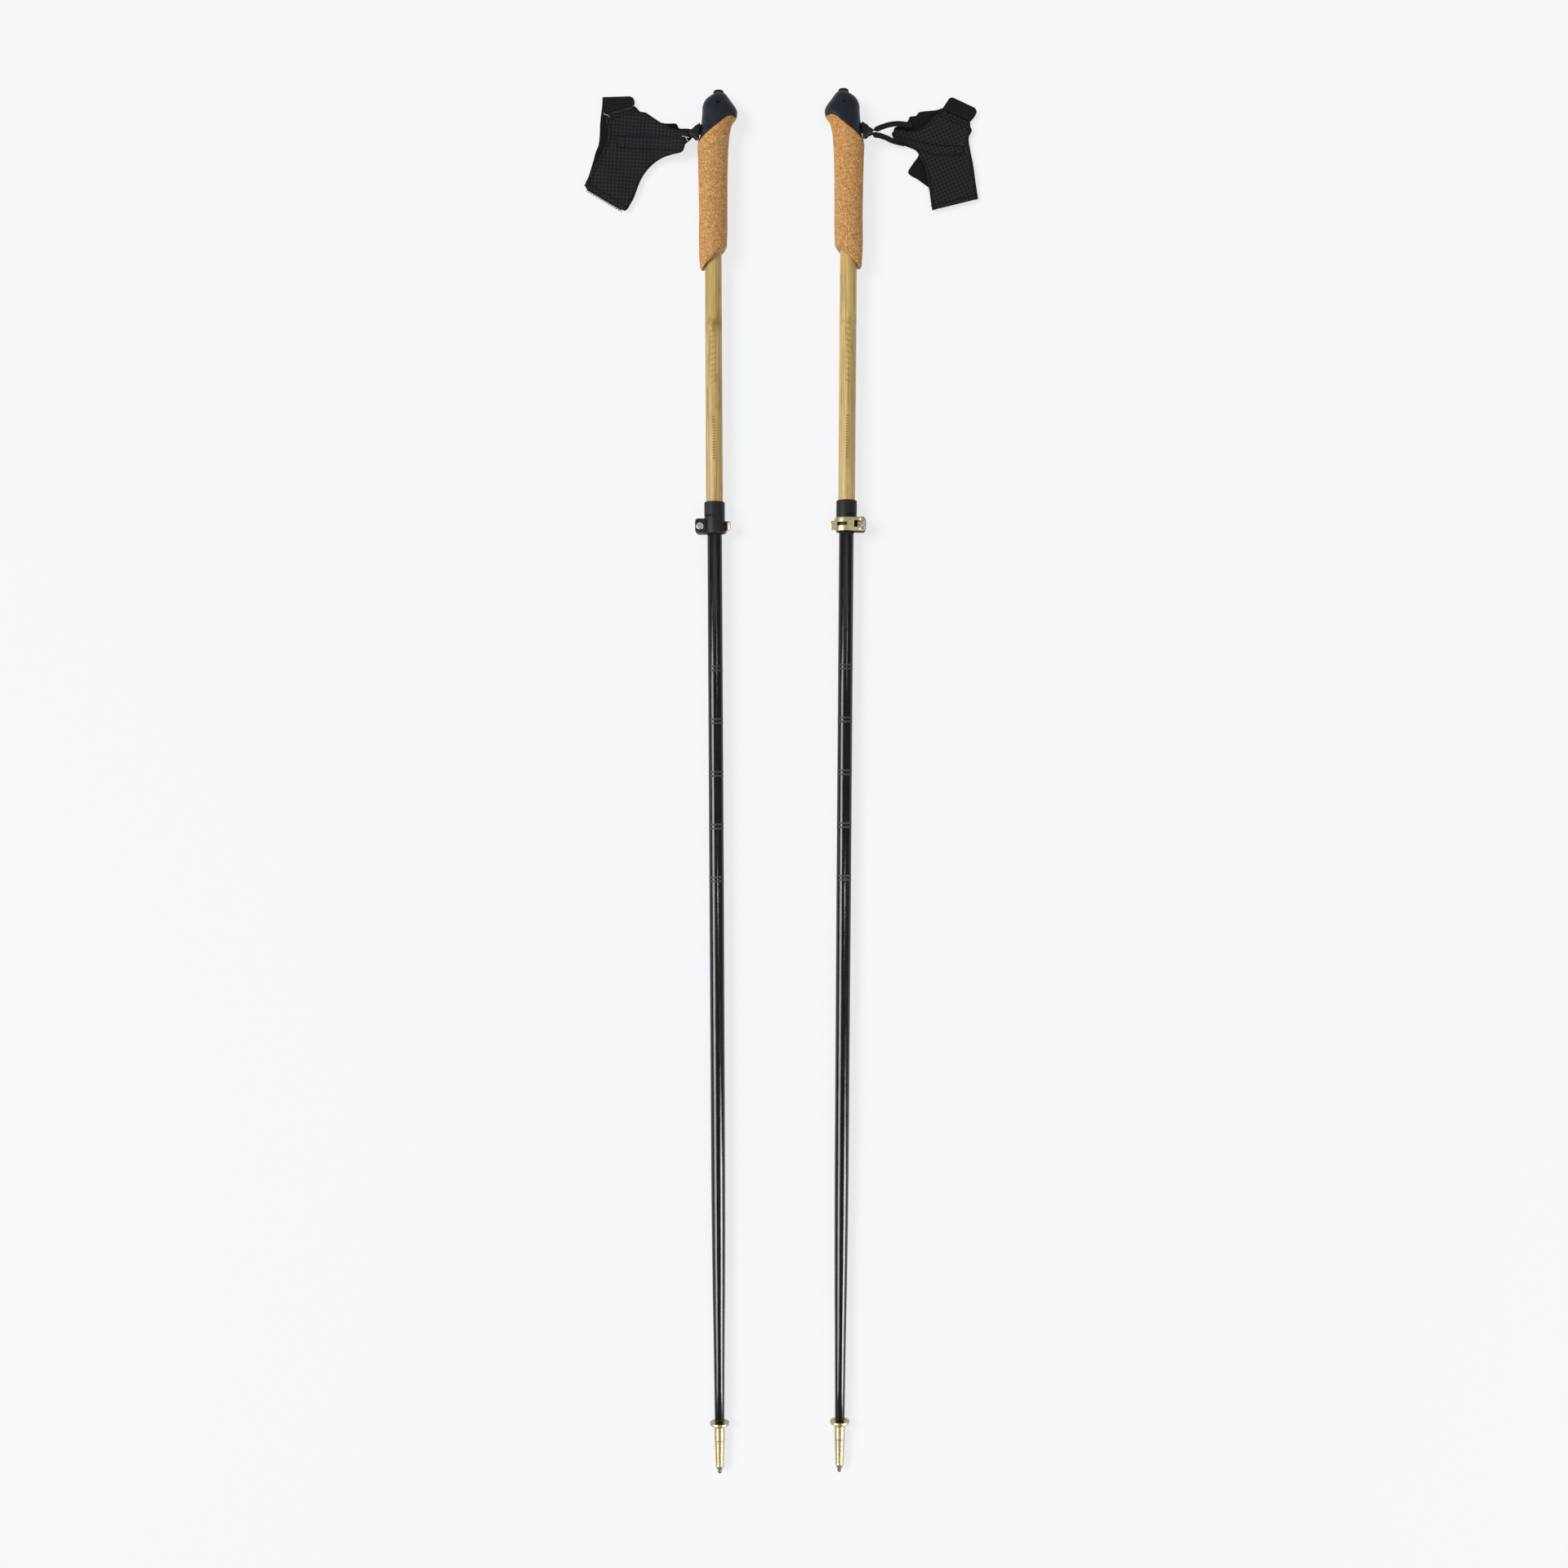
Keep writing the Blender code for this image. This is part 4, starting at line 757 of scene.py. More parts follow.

# %% [markdown]
# The spring under the button's foot is a coil of round wire. Pressing the button shortens it, which a
# rigid body can't do; here each pole's copy is given a mesh of its own.

# %% Button spring, and the bush that keeps its imported shape
SPRING_R, WIRE_R, SPRING_LOW, SPRING_HIGH, SPRING_TURNS = 2.5, 0.4, 1268.1, 1274.0, 3


def coil(per_turn=32, around=12):
    """With a along the wire and b round it, a point lies r = R + w cos b from the coil's middle at
    angle a, and w sin b above the wire. At both ends w is nought, which closes them."""
    a = np.linspace(0, 2 * math.pi * SPRING_TURNS, SPRING_TURNS * per_turn + 1)
    wire = np.concatenate([[0.0], np.full(len(a), WIRE_R), [0.0]])[:, None]
    a = np.concatenate([a[:1], a, a[-1:]])[:, None]
    b = np.linspace(0, 2 * math.pi, around, endpoint=False)[None, :]
    out = SPRING_R + wire * np.cos(b)
    climb = (SPRING_HIGH - SPRING_LOW - 2 * WIRE_R) * a / (2 * math.pi * SPRING_TURNS)
    level = SPRING_LOW + WIRE_R + climb + wire * np.sin(b)
    return np.stack([SPRING_X + out * np.cos(a), level, out * np.sin(a)], axis=-1)


spring = skin("spring", coil())
on_both_poles(spring, "button_spring", "poles", STEEL, 60)
for side in SIDES:
    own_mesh(bpy.data.objects[f"{side}_button_spring_made"])
    bush = frame["nodes"][f"{side}_tube_bush"]
    bush.data.materials.clear()
    bush.data.materials.append(NYLON)

# %% [markdown]
# The hand strap is cut and sewn cloth. A ripstop laminate makes the mitt: a plain weave with a thicker
# yarn every few millimetres, which gives the small squares that stop a tear. Its lining and the tab are
# smooth, and the strap is woven polyester tape. All are near-black and matt, so what the eye gets is
# the grid of the ripstop, the ribs of the tape and pale thread at the bartacks.


# %% Ripstop, knit and woven tape
def woven_finish(name, ground, yarn, square_mm, thread_mm, depth_mm, roughness=0.92):
    """Two sets of lines at a right angle, each folded to the pitch, over a fine weave of threads.
    A slow drift bends the lines a little, as handled cloth does."""
    made, tree, shader = finish(name, Roughness=roughness, IOR=1.3)
    flat = in_mm(tree, "cloth_mm")
    drift = node(tree, "ShaderNodeTexNoise", {"Vector": flat, "Scale": 0.05, "Detail": 2.0}).outputs["Color"]
    place = node(tree, "ShaderNodeVectorMath", {0: drift, 1: (2.4, 2.4, 0.0), 2: flat},
                 operation="MULTIPLY_ADD").outputs[0]
    axes = node(tree, "ShaderNodeSeparateXYZ", {0: place}).outputs
    folds = [maths(tree, "PINGPONG", axes[k], square_mm / 2) for k in (0, 1)]
    lines = [stepped(tree, fold, square_mm * 0.10, square_mm * 0.26, 1.0, 0.0) for fold in folds]
    grid = maths(tree, "MAXIMUM", lines[0], lines[1])
    threads = [maths(tree, "PINGPONG", axes[k], thread_mm / 2) for k in (0, 1)]
    weave = maths(tree, "MULTIPLY", threads[0], threads[1])
    weave = stepped(tree, weave, 0.0, thread_mm * thread_mm / 4)
    cloud = noise(tree, place, 0.07, 3.0)
    body = blended(tree, grid, ground, yarn)
    body = blended(tree, stepped(tree, cloud, 0.3, 0.75, 0.0, 0.2), body, yarn)
    tree.links.new(body, shader.inputs["Base Color"])
    height = maths(tree, "MULTIPLY_ADD", weave, 0.3, grid)
    relief(tree, shader, height, depth_mm)
    return made


RIPSTOP = woven_finish("ripstop_laminate", "#0a0a0d", "#24242b", 3.5, 0.9, 0.35)
LINING = woven_finish("smooth_mitt_lining", "#08080a", "#0d0d10", 1.3, 0.6, 0.10)
KNIT = woven_finish("smooth_knit", "#0b0b0e", "#121216", 1.2, 0.6, 0.10)
TAPE = woven_finish("woven_polyester_tape", "#0e0e12", "#1e1e24", 1.4, 0.7, 0.22)
THREAD = woven_finish("pale_sewing_thread", "#c9c9cc", "#e6e6e8", 0.6, 0.3, 0.05, 0.7)
# the grey finish is thread on the right bartacks, and a painted highlight along the mitt's folded top hem
GREY_THREAD_AND_HEM_HIGHLIGHT = woven_finish("grey_thread_and_painted_hem_highlight", "#4c4c52", "#66666c", 0.6, 0.3, 0.05, 0.7)
BLACK_THREAD = woven_finish("black_sewing_thread", "#040405", "#09090a", 0.6, 0.3, 0.05, 0.7)
print("finishes", RIPSTOP.name, LINING.name, KNIT.name, TAPE.name, THREAD.name)

# %% [markdown]
# A panel of the mitt is a sheet between two matching edges, both measured from the connector's bar. It
# is modelled, not simulated, because it lies still on the ground and its outline has to be exact. Rows join
# the edges at equal shares of their length. The sheet is as thick as cloth in the middle and thins to
# nothing over its last millimetre, as a quarter circle does, which gives it a soft turned edge. Its
# height adds a rise to the bar, a low crown and slanting ripples.

# %% Cloth between two edges
BAR = {side: np.array(JOINTS[side + "_strap_swing"]["pos_m"]) / MM for side in SIDES}
TAPE_Z, RISE_LENGTH = 2.65, 46.0
HEM, HEM_STEPS, EDGE_POINTS = 1.0, 5, 600      # the rounded rim of a sheet, in mm and in points
CAMERA_AT, SHAFT_HEIGHT = (0.0026, -0.0019, 1.652), 0.012
WEAVE_DEG = {"left": -4.0, "right": 24.0}
CLOTH_SHARP_DEG = 50.0


def length_of(line):
    return np.linalg.norm(np.diff(line, axis=0), axis=1).sum()


def rise(side, x, y):
    """Smooth from 0 far away to the bar's height: n n (3 - 2 n) with n = 1 - distance / length."""
    near = np.clip(1 - np.hypot(x, y) / RISE_LENGTH, 0, 1)
    return near * near * (3 - 2 * near) * (BAR[side][2] - TAPE_Z)


def settled(place):
    """Outlines are measured in the plane of the shafts, and cloth lies under it. A point below that
    plane moves out from the camera's foot by the same share, so it stays on its line of sight."""
    below = np.clip(SHAFT_HEIGHT - place[..., 2:], 0, None) / (CAMERA_AT[2] - SHAFT_HEIGHT)
    out = (place[..., :2] - np.array(CAMERA_AT[:2])) * below
    return np.concatenate([place[..., :2] + out, place[..., 2:]], axis=-1)


def ripples(x, y, size):
    """A few long sine waves in different directions, which look like soft creases when added up."""
    waves = ((0.21, 0.05, 0.4, 0.30), (0.07, 0.17, 1.9, 0.34), (-0.12, 0.26, 4.2, 0.20),
             (0.33, -0.18, 2.7, 0.10))
    return size * sum(share * np.sin(kx * x + ky * y + start) for kx, ky, start, share in waves)


def cloth_grid(first, second, thick, height, rows, columns):
    """Top and bottom points of a sheet. Distances d run from each edge in quarter-circle steps, and the
    thickness there is thick x sqrt(1 - (1 - d / HEM)^2)."""
    turn = np.linspace(0, math.pi / 2, HEM_STEPS)
    near, swell = HEM * (1 - np.cos(turn)), np.sin(turn)
    lines = [flowing(edge, EDGE_POINTS) for edge in (first, second)]
    share = near / np.mean([length_of(line) for line in lines])
    between = [count - 2 * HEM_STEPS + 2 for count in (rows, columns)]
    middle = np.linspace(share[-1], 1 - share[-1], between[0])[1:-1]
    down = np.concatenate([share, middle, 1 - share[::-1]])
    ends = [np.stack([np.interp(down, np.linspace(0, 1, EDGE_POINTS), line[:, k]) for k in (0, 1)], axis=1)
            for line in lines]
    width = np.linalg.norm(ends[1] - ends[0], axis=1)[:, None]
    inner = HEM + (width - 2 * HEM) * np.linspace(0, 1, between[1])[None, 1:-1]
    across = np.concatenate([0 * width + near, inner, width - near[::-1]], axis=1) / width
    plan = ends[0][:, None] + (ends[1] - ends[0])[:, None] * across[..., None]
    full = [np.concatenate([swell, np.ones(n - 2 * HEM_STEPS), swell[::-1]]) for n in plan.shape[:2]]
    half = thick / 2 * full[0][:, None] * full[1][None, :]
    level = height(plan[..., 0], plan[..., 1])
    return [np.concatenate([plan, (level + sign * half)[..., None]], axis=-1) for sign in (1, -1)]


def flat_area(top):
    """Half the cross product of each face's diagonals, added up, in square metres."""
    a, b = top[1:, 1:] - top[:-1, :-1], top[1:, :-1] - top[:-1, 1:]
    return float(np.linalg.norm(np.cross(a, b), axis=-1).sum()) / 2 * MM * MM


def laid(made, side, cloth, body, nodes=()):
    """Put a cloth piece, in millimetres from the bar, into the world, and keep its weave's directions."""
    local = np.zeros(len(made.data.vertices) * 3)
    made.data.vertices.foreach_get("co", local)
    local = local.reshape(-1, 3)
    cos, sin = (f(math.radians(WEAVE_DEG[side])) for f in (math.cos, math.sin))
    weave = local @ np.array([[cos, -sin, 0], [sin, cos, 0], [0, 0, 1]])
    kept = made.data.attributes.new("cloth_mm", "FLOAT_VECTOR", "POINT")
    kept.data.foreach_set("vector", weave.ravel().astype(np.float32))
    place = settled((local + [BAR[side][0], BAR[side][1], 0.0]) * MM)
    made.data.vertices.foreach_set("co", place.ravel().astype(np.float32))
    made.data.update()
    show(made, cloth, nodes, CLOTH_SHARP_DEG)
    if body:
        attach(made, body)
    return made


def closed_sheet(first, second, thick, height, rows, columns):
    """Points and faces of a closed sheet, and its flat area: the top, and the bottom turned over."""
    top, bottom = cloth_grid(first, second, thick, height, rows, columns)
    faces = grid_faces(rows, columns, False, False)
    points = np.concatenate([top.reshape(-1, 3), bottom.reshape(-1, 3)])
    return points, np.concatenate([faces, faces[:, ::-1] + rows * columns]), flat_area(top)


print("the bars are at", {side: np.round(BAR[side], 2).tolist() for side in SIDES}, "mm")

# %% The panels' edges
OUTER = {
    "left": ([(-79.2, 20.4), (-81.4, 12.8), (-79.2, 5.0), (-78.8, -1.1), (-80.9, -8.0), (-85.3, -18.4),
              (-90.5, -27.1), (-94.8, -35.8), (-102.1, -48.8)],
             [(-54.4, 27.0), (-51.8, 24.9), (-49.3, 21.9), (-44.5, 21.0), (-36.7, 16.2), (-28.1, 10.6),
              (-18.5, 5.8), (-9.0, 3.0), (-3.6, 1.8), (-2.6, -0.6), (-3.0, -4.4), (-5.6, -9.6),
              (-8.0, -15.6), (-18.5, -19.3), (-27.2, -22.3), (-35.9, -28.0), (-41.9, -34.0),
              (-46.3, -40.1), (-49.7, -47.0), (-52.3, -54.0), (-54.9, -60.9), (-58.4, -67.0),
              (-61.0, -71.3), (-63.6, -73.0)]),
    "right": ([(68.3, 22.1), (63.1, 17.7), (57.0, 10.8), (50.1, 5.6), (41.4, 2.1), (32.8, 2.1),
               (22.4, 2.1), (20.2, -1.3), (21.1, -3.9), (25.0, -8.3), (31.0, -9.6), (36.2, -11.7),
               (41.4, -15.2), (44.9, -19.1), (48.3, -25.6), (51.8, -32.5), (54.0, -42.1), (55.7, -52.5),
               (57.0, -62.9), (58.7, -73.7)],
              [(95.1, 9.9), (95.2, 5.6), (96.4, 3.0), (93.8, -3.9), (95.1, -16.9), (97.7, -29.9),
               (99.5, -42.9), (102.5, -62.9)]),
}
INNER = {
    "left": ([(-84.4, 33.4), (-85.3, 24.9), (-87.0, 9.3), (-87.4, -2.0), (-88.9, -11.7), (-90.7, -15.8),
              (-93.4, -25.4), (-97.6, -39.2), (-100.9, -49.6), (-99.1, -53.1)],
             [(-60.0, 33.0), (-52.0, 22.0), (-36.2, 13.2), (-24.0, 10.2), (-13.4, 9.0), (-12.6, 6.6),
              (-3.0, 5.4), (1.6, 4.0), (1.8, -1.6), (-3.0, -7.0), (-12.0, -13.0), (-30.0, -21.0),
              (-44.0, -34.0), (-52.0, -48.0), (-57.0, -62.0), (-67.1, -72.2)]),
    "right": ([(69.5, 24.0), (64.0, 21.9), (56.0, 20.9), (49.0, 20.2), (45.8, 19.3), (43.6, 16.4),
               (40.6, 15.8), (37.6, 15.4), (35.6, 11.4), (33.0, 9.0), (22.4, 3.9), (24.0, -6.0),
               (45.7, -21.3), (40.2, -29.6), (35.8, -37.7), (45.6, -45.0), (55.7, -52.3)],
              [(95.0, 18.0), (94.6, 8.0), (94.6, 0.0), (92.0, -3.9), (93.0, -16.9), (95.0, -29.9),
               (97.0, -44.0), (99.0, -60.0)]),
}
TAB = {
    "left": ([(-84.6, 35.4), (-84.9, 28.0), (-84.2, 19.4)],
             [(-58.6, 36.2), (-55.6, 34.6), (-54.2, 31.6), (-54.4, 27.2)]),
    "right": ([(68.3, 22.7), (73.0, 29.9), (75.2, 32.9), (78.2, 33.8)],
              [(95.1, 10.5), (99.5, 16.0), (101.0, 20.3), (99.5, 23.8)]),
}
print("outer panels have", [len(OUTER[side][0]) + len(OUTER[side][1]) for side in SIDES], "edge points")

# %% Mitt panels
OUTER_Z, INNER_Z = 4.25, 1.2


def outer_height(side, over=0.0):
    """Above the inner panel: base, the rise to the bar, and a low crown far from the bar. A piece that
    lies on the panel is so many millimetres over it."""
    def height(x, y):
        away = np.clip((np.hypot(x, y) - 14) / 30, 0, 1)
        return OUTER_Z + rise(side, x, y) + away * (0.45 + ripples(x, y, 0.75)) + over
    return height


def inner_height(side):
    """Just over the ground, with a small part of the rise, so that its arm stays under the tape."""
    def height(x, y):
        return INNER_Z + 0.3 * rise(side, x, y) + np.clip(ripples(x + 20, y - 9, 0.35), -0.3, 0.6)
    return height


PANELS = {}
for side in SIDES:
    for part, edges, height, thick, cloth in (("outer", OUTER, outer_height(side), 1.7, RIPSTOP),
                                              ("inner", INNER, inner_height(side), 1.6, LINING)):
        points, faces, area = closed_sheet(*edges[side], thick, height, 110, 70)
        panel = from_arrays(f"{side}_mitt_{part}_made", points, faces)
        laid(panel, side, cloth, f"{side}_strap", [f"{side}_mitt_{part}"])
        size = np.ptp(points[:, :2], axis=0) * MM
        PANELS[side, part] = (panel, size.tolist(), area)
        print(side, part, "is", np.round(size / MM), "mm across, area", round(area * 1e4, 1), "square cm")

# %% [markdown]
# The wrist tab wraps over the wrist and closes with hook and loop. It folds along the mitt's top hem;
# here it lies flat beside that hem, and the fold's direction is worked out but not used.

# %% Wrist tab, laid flat by its fold
FOLD = {"left": ((-79.2, 20.4), (-54.4, 27.0)), "right": ((68.3, 22.5), (95.1, 10.3))}


def tab_height(x, y):
    """Level with the outer panel's hem, which it meets, with low ripples of its own."""
    return 4.1 + ripples(x - 8, y + 5, 0.35)


for side in SIDES:
    points, faces, area = closed_sheet(*TAB[side], 1.8, tab_height, 60, 50)
    tab = from_arrays(f"{side}_wrist_tab_made", points, faces)
    laid(tab, side, KNIT, None, [f"{side}_wrist_tab"])
    a, b = (np.array(point) for point in FOLD[side])
    across = np.array([-(b - a)[1], (b - a)[0]]) / np.linalg.norm(b - a)
    across = across if across[1] > 0 else -across
    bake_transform(tab)
    size = np.ptp(points[:, :2], axis=0) * MM
    print(side, "tab area", round(area * 1e4, 1), "square cm")

# %% [markdown]
# The strap's tape is one length of webbing: it comes off the mitt flat, twists upright, goes round the
# bar and comes back to the mitt. So a flat oblong section is carried along the whole path, and its
# width turns from level to upright near the bar. A second, wider band is sewn on the mitt to spread
# the pull, and ends in a stitched box.

# %% Tape round the bar
LEGS = {
    "left": ([(-22.0, 0.9), (-14.0, 1.7), (-9.0, 2.1), (-4.5, 2.0)],
             [(-3.6, -3.0), (-7.5, -6.4), (-14.0, -9.6), (-22.0, -10.6)]),
    "right": ([(40.0, 7.4), (33.5, 8.0), (26.5, 8.7), (18.0, 7.7), (10.2, 5.1), (5.6, 2.7)],
              [(4.6, -2.6), (9.4, -3.1), (14.9, -4.7), (20.3, -7.3), (27.3, -9.3), (33.0, -10.6)]),
}
TAPE_HALF_WIDTH, TAPE_HALF_THICK, LOOP_MID_R, TWIST_OVER = 2.6, 0.55, 2.15, 5.0


def tape_loop(side, steps=240):
    """Section point (w, t) goes to path + w (level cos f + up sin f) + t normal, where f turns from 0
    to a right angle as the path comes within a few millimetres of the bar."""
    first, second = LEGS[side]
    out = 1.0 if side == "right" else -1.0
    turn = np.radians(np.linspace(50, 310, 9))
    round_bar = np.stack([out * LOOP_MID_R * np.cos(turn), LOOP_MID_R * np.sin(turn)], axis=1)
    path = flowing(np.vstack([first, round_bar, second]), steps)
    level = np.gradient(path, axis=0)
    level = level / np.linalg.norm(level, axis=1)[:, None]
    normal = np.stack([-level[:, 1], level[:, 0]], axis=1)
    away = np.hypot(path[:, 0], path[:, 1])
    twist = np.clip(1 - (away - LOOP_MID_R) / TWIST_OVER, 0, 1)
    turned_by = (twist * twist * (3 - 2 * twist) * math.pi / 2)[:, None]
    section = softened([(-1, -1), (1, -1), (1, 1), (-1, 1)], 0.5, 3, True)
    w, t = section[:, 0] * TAPE_HALF_WIDTH, section[:, 1] * TAPE_HALF_THICK
    size = np.ones((steps, 1))
    size[[0, -1]] = 0.0                      # both ends close to a point
    sideways = size * (w * np.cos(turned_by) + t * np.sin(turned_by))
    upward = size * (w * np.sin(turned_by) - t * np.cos(turned_by))
    middle_z = TAPE_Z + rise(side, path[:, :1], path[:, 1:])
    x, y = path[:, :1] + normal[:, :1] * sideways, path[:, 1:] + normal[:, 1:] * sideways
    return np.stack([x, y, middle_z + upward], axis=-1)


BAND = {
    "left": ([(-72.3, -0.2), (-52.0, -1.2), (-30.0, -2.4), (-16.0, -3.2), (-6.4, -3.8)],
             [(-70.0, -13.2), (-52.0, -14.0), (-30.0, -14.8), (-16.0, -15.4), (-8.6, -15.9)]),
    "right": ([(22.0, -1.8), (33.0, -4.6), (44.0, -7.4), (61.3, -10.6), (74.3, -11.6), (88.4, -11.2)],
              [(22.8, -5.6), (33.0, -9.8), (42.5, -15.0), (60.0, -21.0), (74.0, -22.2), (88.0, -20.6)]),
}
BAND_OVER = 1.3                  # the band's middle over the outer panel's, in mm

for side in SIDES:
    loop = skin(f"{side}_strap_webbing_made", tape_loop(side))
    laid(loop, side, TAPE, f"{side}_strap", [f"{side}_strap_webbing"])
    points, faces, _ = closed_sheet(*BAND[side], 1.4, outer_height(side, BAND_OVER), 90, 26)
    band = from_arrays(f"{side}_sewn_band_made", points, faces)
    laid(band, side, RIPSTOP, f"{side}_strap")
    PANELS[side, "band"] = band
    print(side, "loop has", len(loop.data.polygons), "faces, and the band", len(band.data.polygons))

# %% [markdown]
# Stitches show where the mitt was sewn: rows of short dark ones inside each hem, a box at the end of
# the band, and pale bartacks. Each stitch is a six-sided pod of a few dozen faces. A row of them is
# made at once, by adding one pod's points to every place along a line. The same pods, in grey along
# the top hem, are a painted highlight on its folded edge and not thread.


# %% Stitches
def stitch_row(line, height, pitch, length, thick, angle_deg=0.0):
    """Pods at even steps of a line, each along the line's own direction, or turned from it to one side
    and the other by turns, which makes a zigzag."""
    line = np.asarray(line, float)
    places = flowing(line, max(int(length_of(line) / pitch), 2))
    way = np.gradient(places, axis=0)
    heading = np.arctan2(way[:, 1], way[:, 0]) + math.radians(angle_deg)
    heading[1::2] -= 2 * math.radians(angle_deg)
    around = np.linspace(0, 2 * math.pi, 6, endpoint=False)
    along = np.array([-0.5, -0.34, 0.34, 0.5])
    girth = np.array([0.0, 1.0, 1.0, 0.0]) * thick / 2
    pod = np.stack(np.broadcast_arrays(along[:, None] * length, girth[:, None] * np.cos(around),
                                       girth[:, None] * np.sin(around)), axis=-1).reshape(-1, 3)
    turn_x, turn_y = np.cos(heading)[:, None], np.sin(heading)[:, None]
    x = places[:, :1] + pod[None, :, 0] * turn_x - pod[None, :, 1] * turn_y
    y = places[:, 1:] + pod[None, :, 0] * turn_y + pod[None, :, 1] * turn_x
    z = height(x, y) + pod[None, :, 2]
    faces = grid_faces(4, 6, False, True)[None] + np.arange(len(places))[:, None, None] * len(pod)
    return np.stack([x, y, z], axis=-1).reshape(-1, 3), faces.reshape(-1, 4)


def stitched(name, side, rows, thread):
    """One piece from several rows of stitches, which rides on the strap."""
    points, faces, count = [], [], 0
    for row_points, row_faces in rows:
        points.append(row_points)
        faces.append(row_faces + count)
        count += len(row_points)
    made = from_arrays(name, np.concatenate(points), np.concatenate(faces))
    print(name, "has", len(made.data.polygons), "faces")
    return laid(made, side, thread, f"{side}_strap")


def inside(first, second, distance):
    """A line that runs beside the first edge, so many millimetres towards the second."""
    a, b = flowing(first, 60), flowing(second, 60)
    return a + (b - a) / np.linalg.norm(b - a, axis=1)[:, None] * distance


# pitch, length and thickness of each kind of stitch in mm, and its angle where it zigzags; the hem
# highlight uses the same pods to paint a highlight along the folded top hem
HEM_STITCH, HEM_HIGHLIGHT_PODS = (1.5, 1.4, 0.8), (0.9, 1.0, 0.3)
TACK_STITCH, ZIGZAG_STITCH = (0.7, 1.1, 0.6, 28.0), (1.3, 2.9, 0.6, 58.0)
BARTACKS = {
    "left": [((-8.6, -3.2), (-2.6, -4.6)), ((-5.4, -4.0), (-3.4, -7.8)), ((-83.4, 19.5), (-80.6, 18.4)),
             ((-79.6, 18.2), (-78.4, 17.0))],
    "right": [((86.6, -10.8), (89.0, -11.9)), ((87.0, -18.6), (87.6, -20.4))],
}
# the grey row along the folded top hem is a painted highlight on that edge, not a seam
PAINTED_HIGHLIGHT_ON_HEM = {"left": [(-78.6, 19.9), (-66.0, 23.3), (-54.8, 26.4)],
            "right": [(66.6, 23.6), (69.2, 20.6), (69.6, 17.6)]}
BOX = {"left": [(-71.0, -1.6), (-64.5, -2.0), (-64.0, -12.6), (-69.4, -12.2), (-71.0, -1.6)],
       "right": [(87.4, -12.6), (81.0, -12.9), (80.8, -20.4), (87.2, -19.4), (87.4, -12.6)]}


def sewing_lines(side, down):
    """Lines on the outer panel: beside both edges, two under the hem and one over the foot. Then those
    on the band: beside both edges, and the box at its end."""
    first, second = OUTER[side]
    hem, foot = np.array([first[0], second[0]]), np.array([first[-1], second[-1]])
    hem_in = hem * [[0.97, 1], [0.985, 1]]
    on_panel = [inside(first, second, 2.2), inside(second, first, 2.2), hem_in + down * 3.0,
                hem_in + down * 6.2, foot * 0.985 - down * 3.2]
    first, second = BAND[side]
    return on_panel, [inside(first, second, 1.0), inside(second, first, 1.0), BOX[side]]


def over_tape(side):
    """Just over the outer panel, and never under the tape's top."""
    under = outer_height(side)
    return lambda x, y: np.maximum(under(x, y), 5.0) + 1.1


for side in SIDES:
    first, second = (np.array(edge) for edge in OUTER[side])
    down = (first[-1] + second[-1]) / 2 - (first[0] + second[0]) / 2
    down = down / np.linalg.norm(down)
    on_panel, on_band = sewing_lines(side, down)
    rows = [stitch_row(line, outer_height(side, 0.92), *HEM_STITCH) for line in on_panel]
    rows += [stitch_row(line, outer_height(side, BAND_OVER + 0.72), *HEM_STITCH) for line in on_band]
    dark = stitched(f"{side}_hem_stitches", side, rows, BLACK_THREAD)
    rows = [stitch_row(np.linspace(*ends, 3), over_tape(side), *TACK_STITCH) for ends in BARTACKS[side]]
    tacks = stitched(f"{side}_bartacks", side, rows, THREAD if side == "left" else GREY_THREAD_AND_HEM_HIGHLIGHT)
    # grey pods along the folded top hem: a painted highlight on its edge, not thread
    rows = [stitch_row(PAINTED_HIGHLIGHT_ON_HEM[side], outer_height(side, 0.75), *HEM_HIGHLIGHT_PODS)]
    painted_hem_highlight = stitched(f"{side}_painted_hem_highlight", side, rows, GREY_THREAD_AND_HEM_HIGHLIGHT)
    inner_foot = flowing([edge[-1] for edge in INNER[side]], 5)
    rows = [stitch_row(inner_foot + down * 0.5, inner_height(side), *ZIGZAG_STITCH)]
    zigzag = stitched(f"{side}_zigzag", side, rows, BLACK_THREAD)
    panel, size, area = PANELS[side, "outer"]
    panel, size, area = PANELS[side, "inner"]

# %% [markdown]
# The poles lie on a light table of opal plastic and are seen from straight above. The table glows, so
# it stays nearly white and shadows on it are faint. A soft sun comes from the left, so they fall to the
# right. A glossy black tube shows lamps and not light, so five area lamps are added that only
# reflections see: they draw the bright line along each shaft and light the gold parts.

# %% Floor, light and camera
FLOOR_HALF, FLOOR_Z, GLOW = 6.0, -0.0003, 0.775
SENSOR, SEEN_WIDTH = 36.0, 1.4907      # mm, and metres that the picture spans in the shafts' plane

floor_mesh = bpy.data.meshes.new("floor")
corners = [(x * FLOOR_HALF, y * FLOOR_HALF, FLOOR_Z) for x, y in ((-1, -1), (1, -1), (1, 1), (-1, 1))]
floor_mesh.from_pydata(corners, [], [(0, 1, 2, 3)])
floor = bpy.data.objects.new("floor", floor_mesh)
bpy.context.scene.collection.objects.link(floor)
table, table_tree, table_shader = finish("opal_light_table", Roughness=0.9, IOR=1.3, Emission_Strength=GLOW,
                                          Emission_Color=linear("#f8f9fb"))
grain = noise(table_tree, node(table_tree, "ShaderNodeTexCoord").outputs["Object"], 900.0, 2.0)
table_tree.links.new(blended(table_tree, grain, "#7b7c7e", "#808183"), table_shader.inputs["Base Color"])
floor_mesh.materials.append(table)


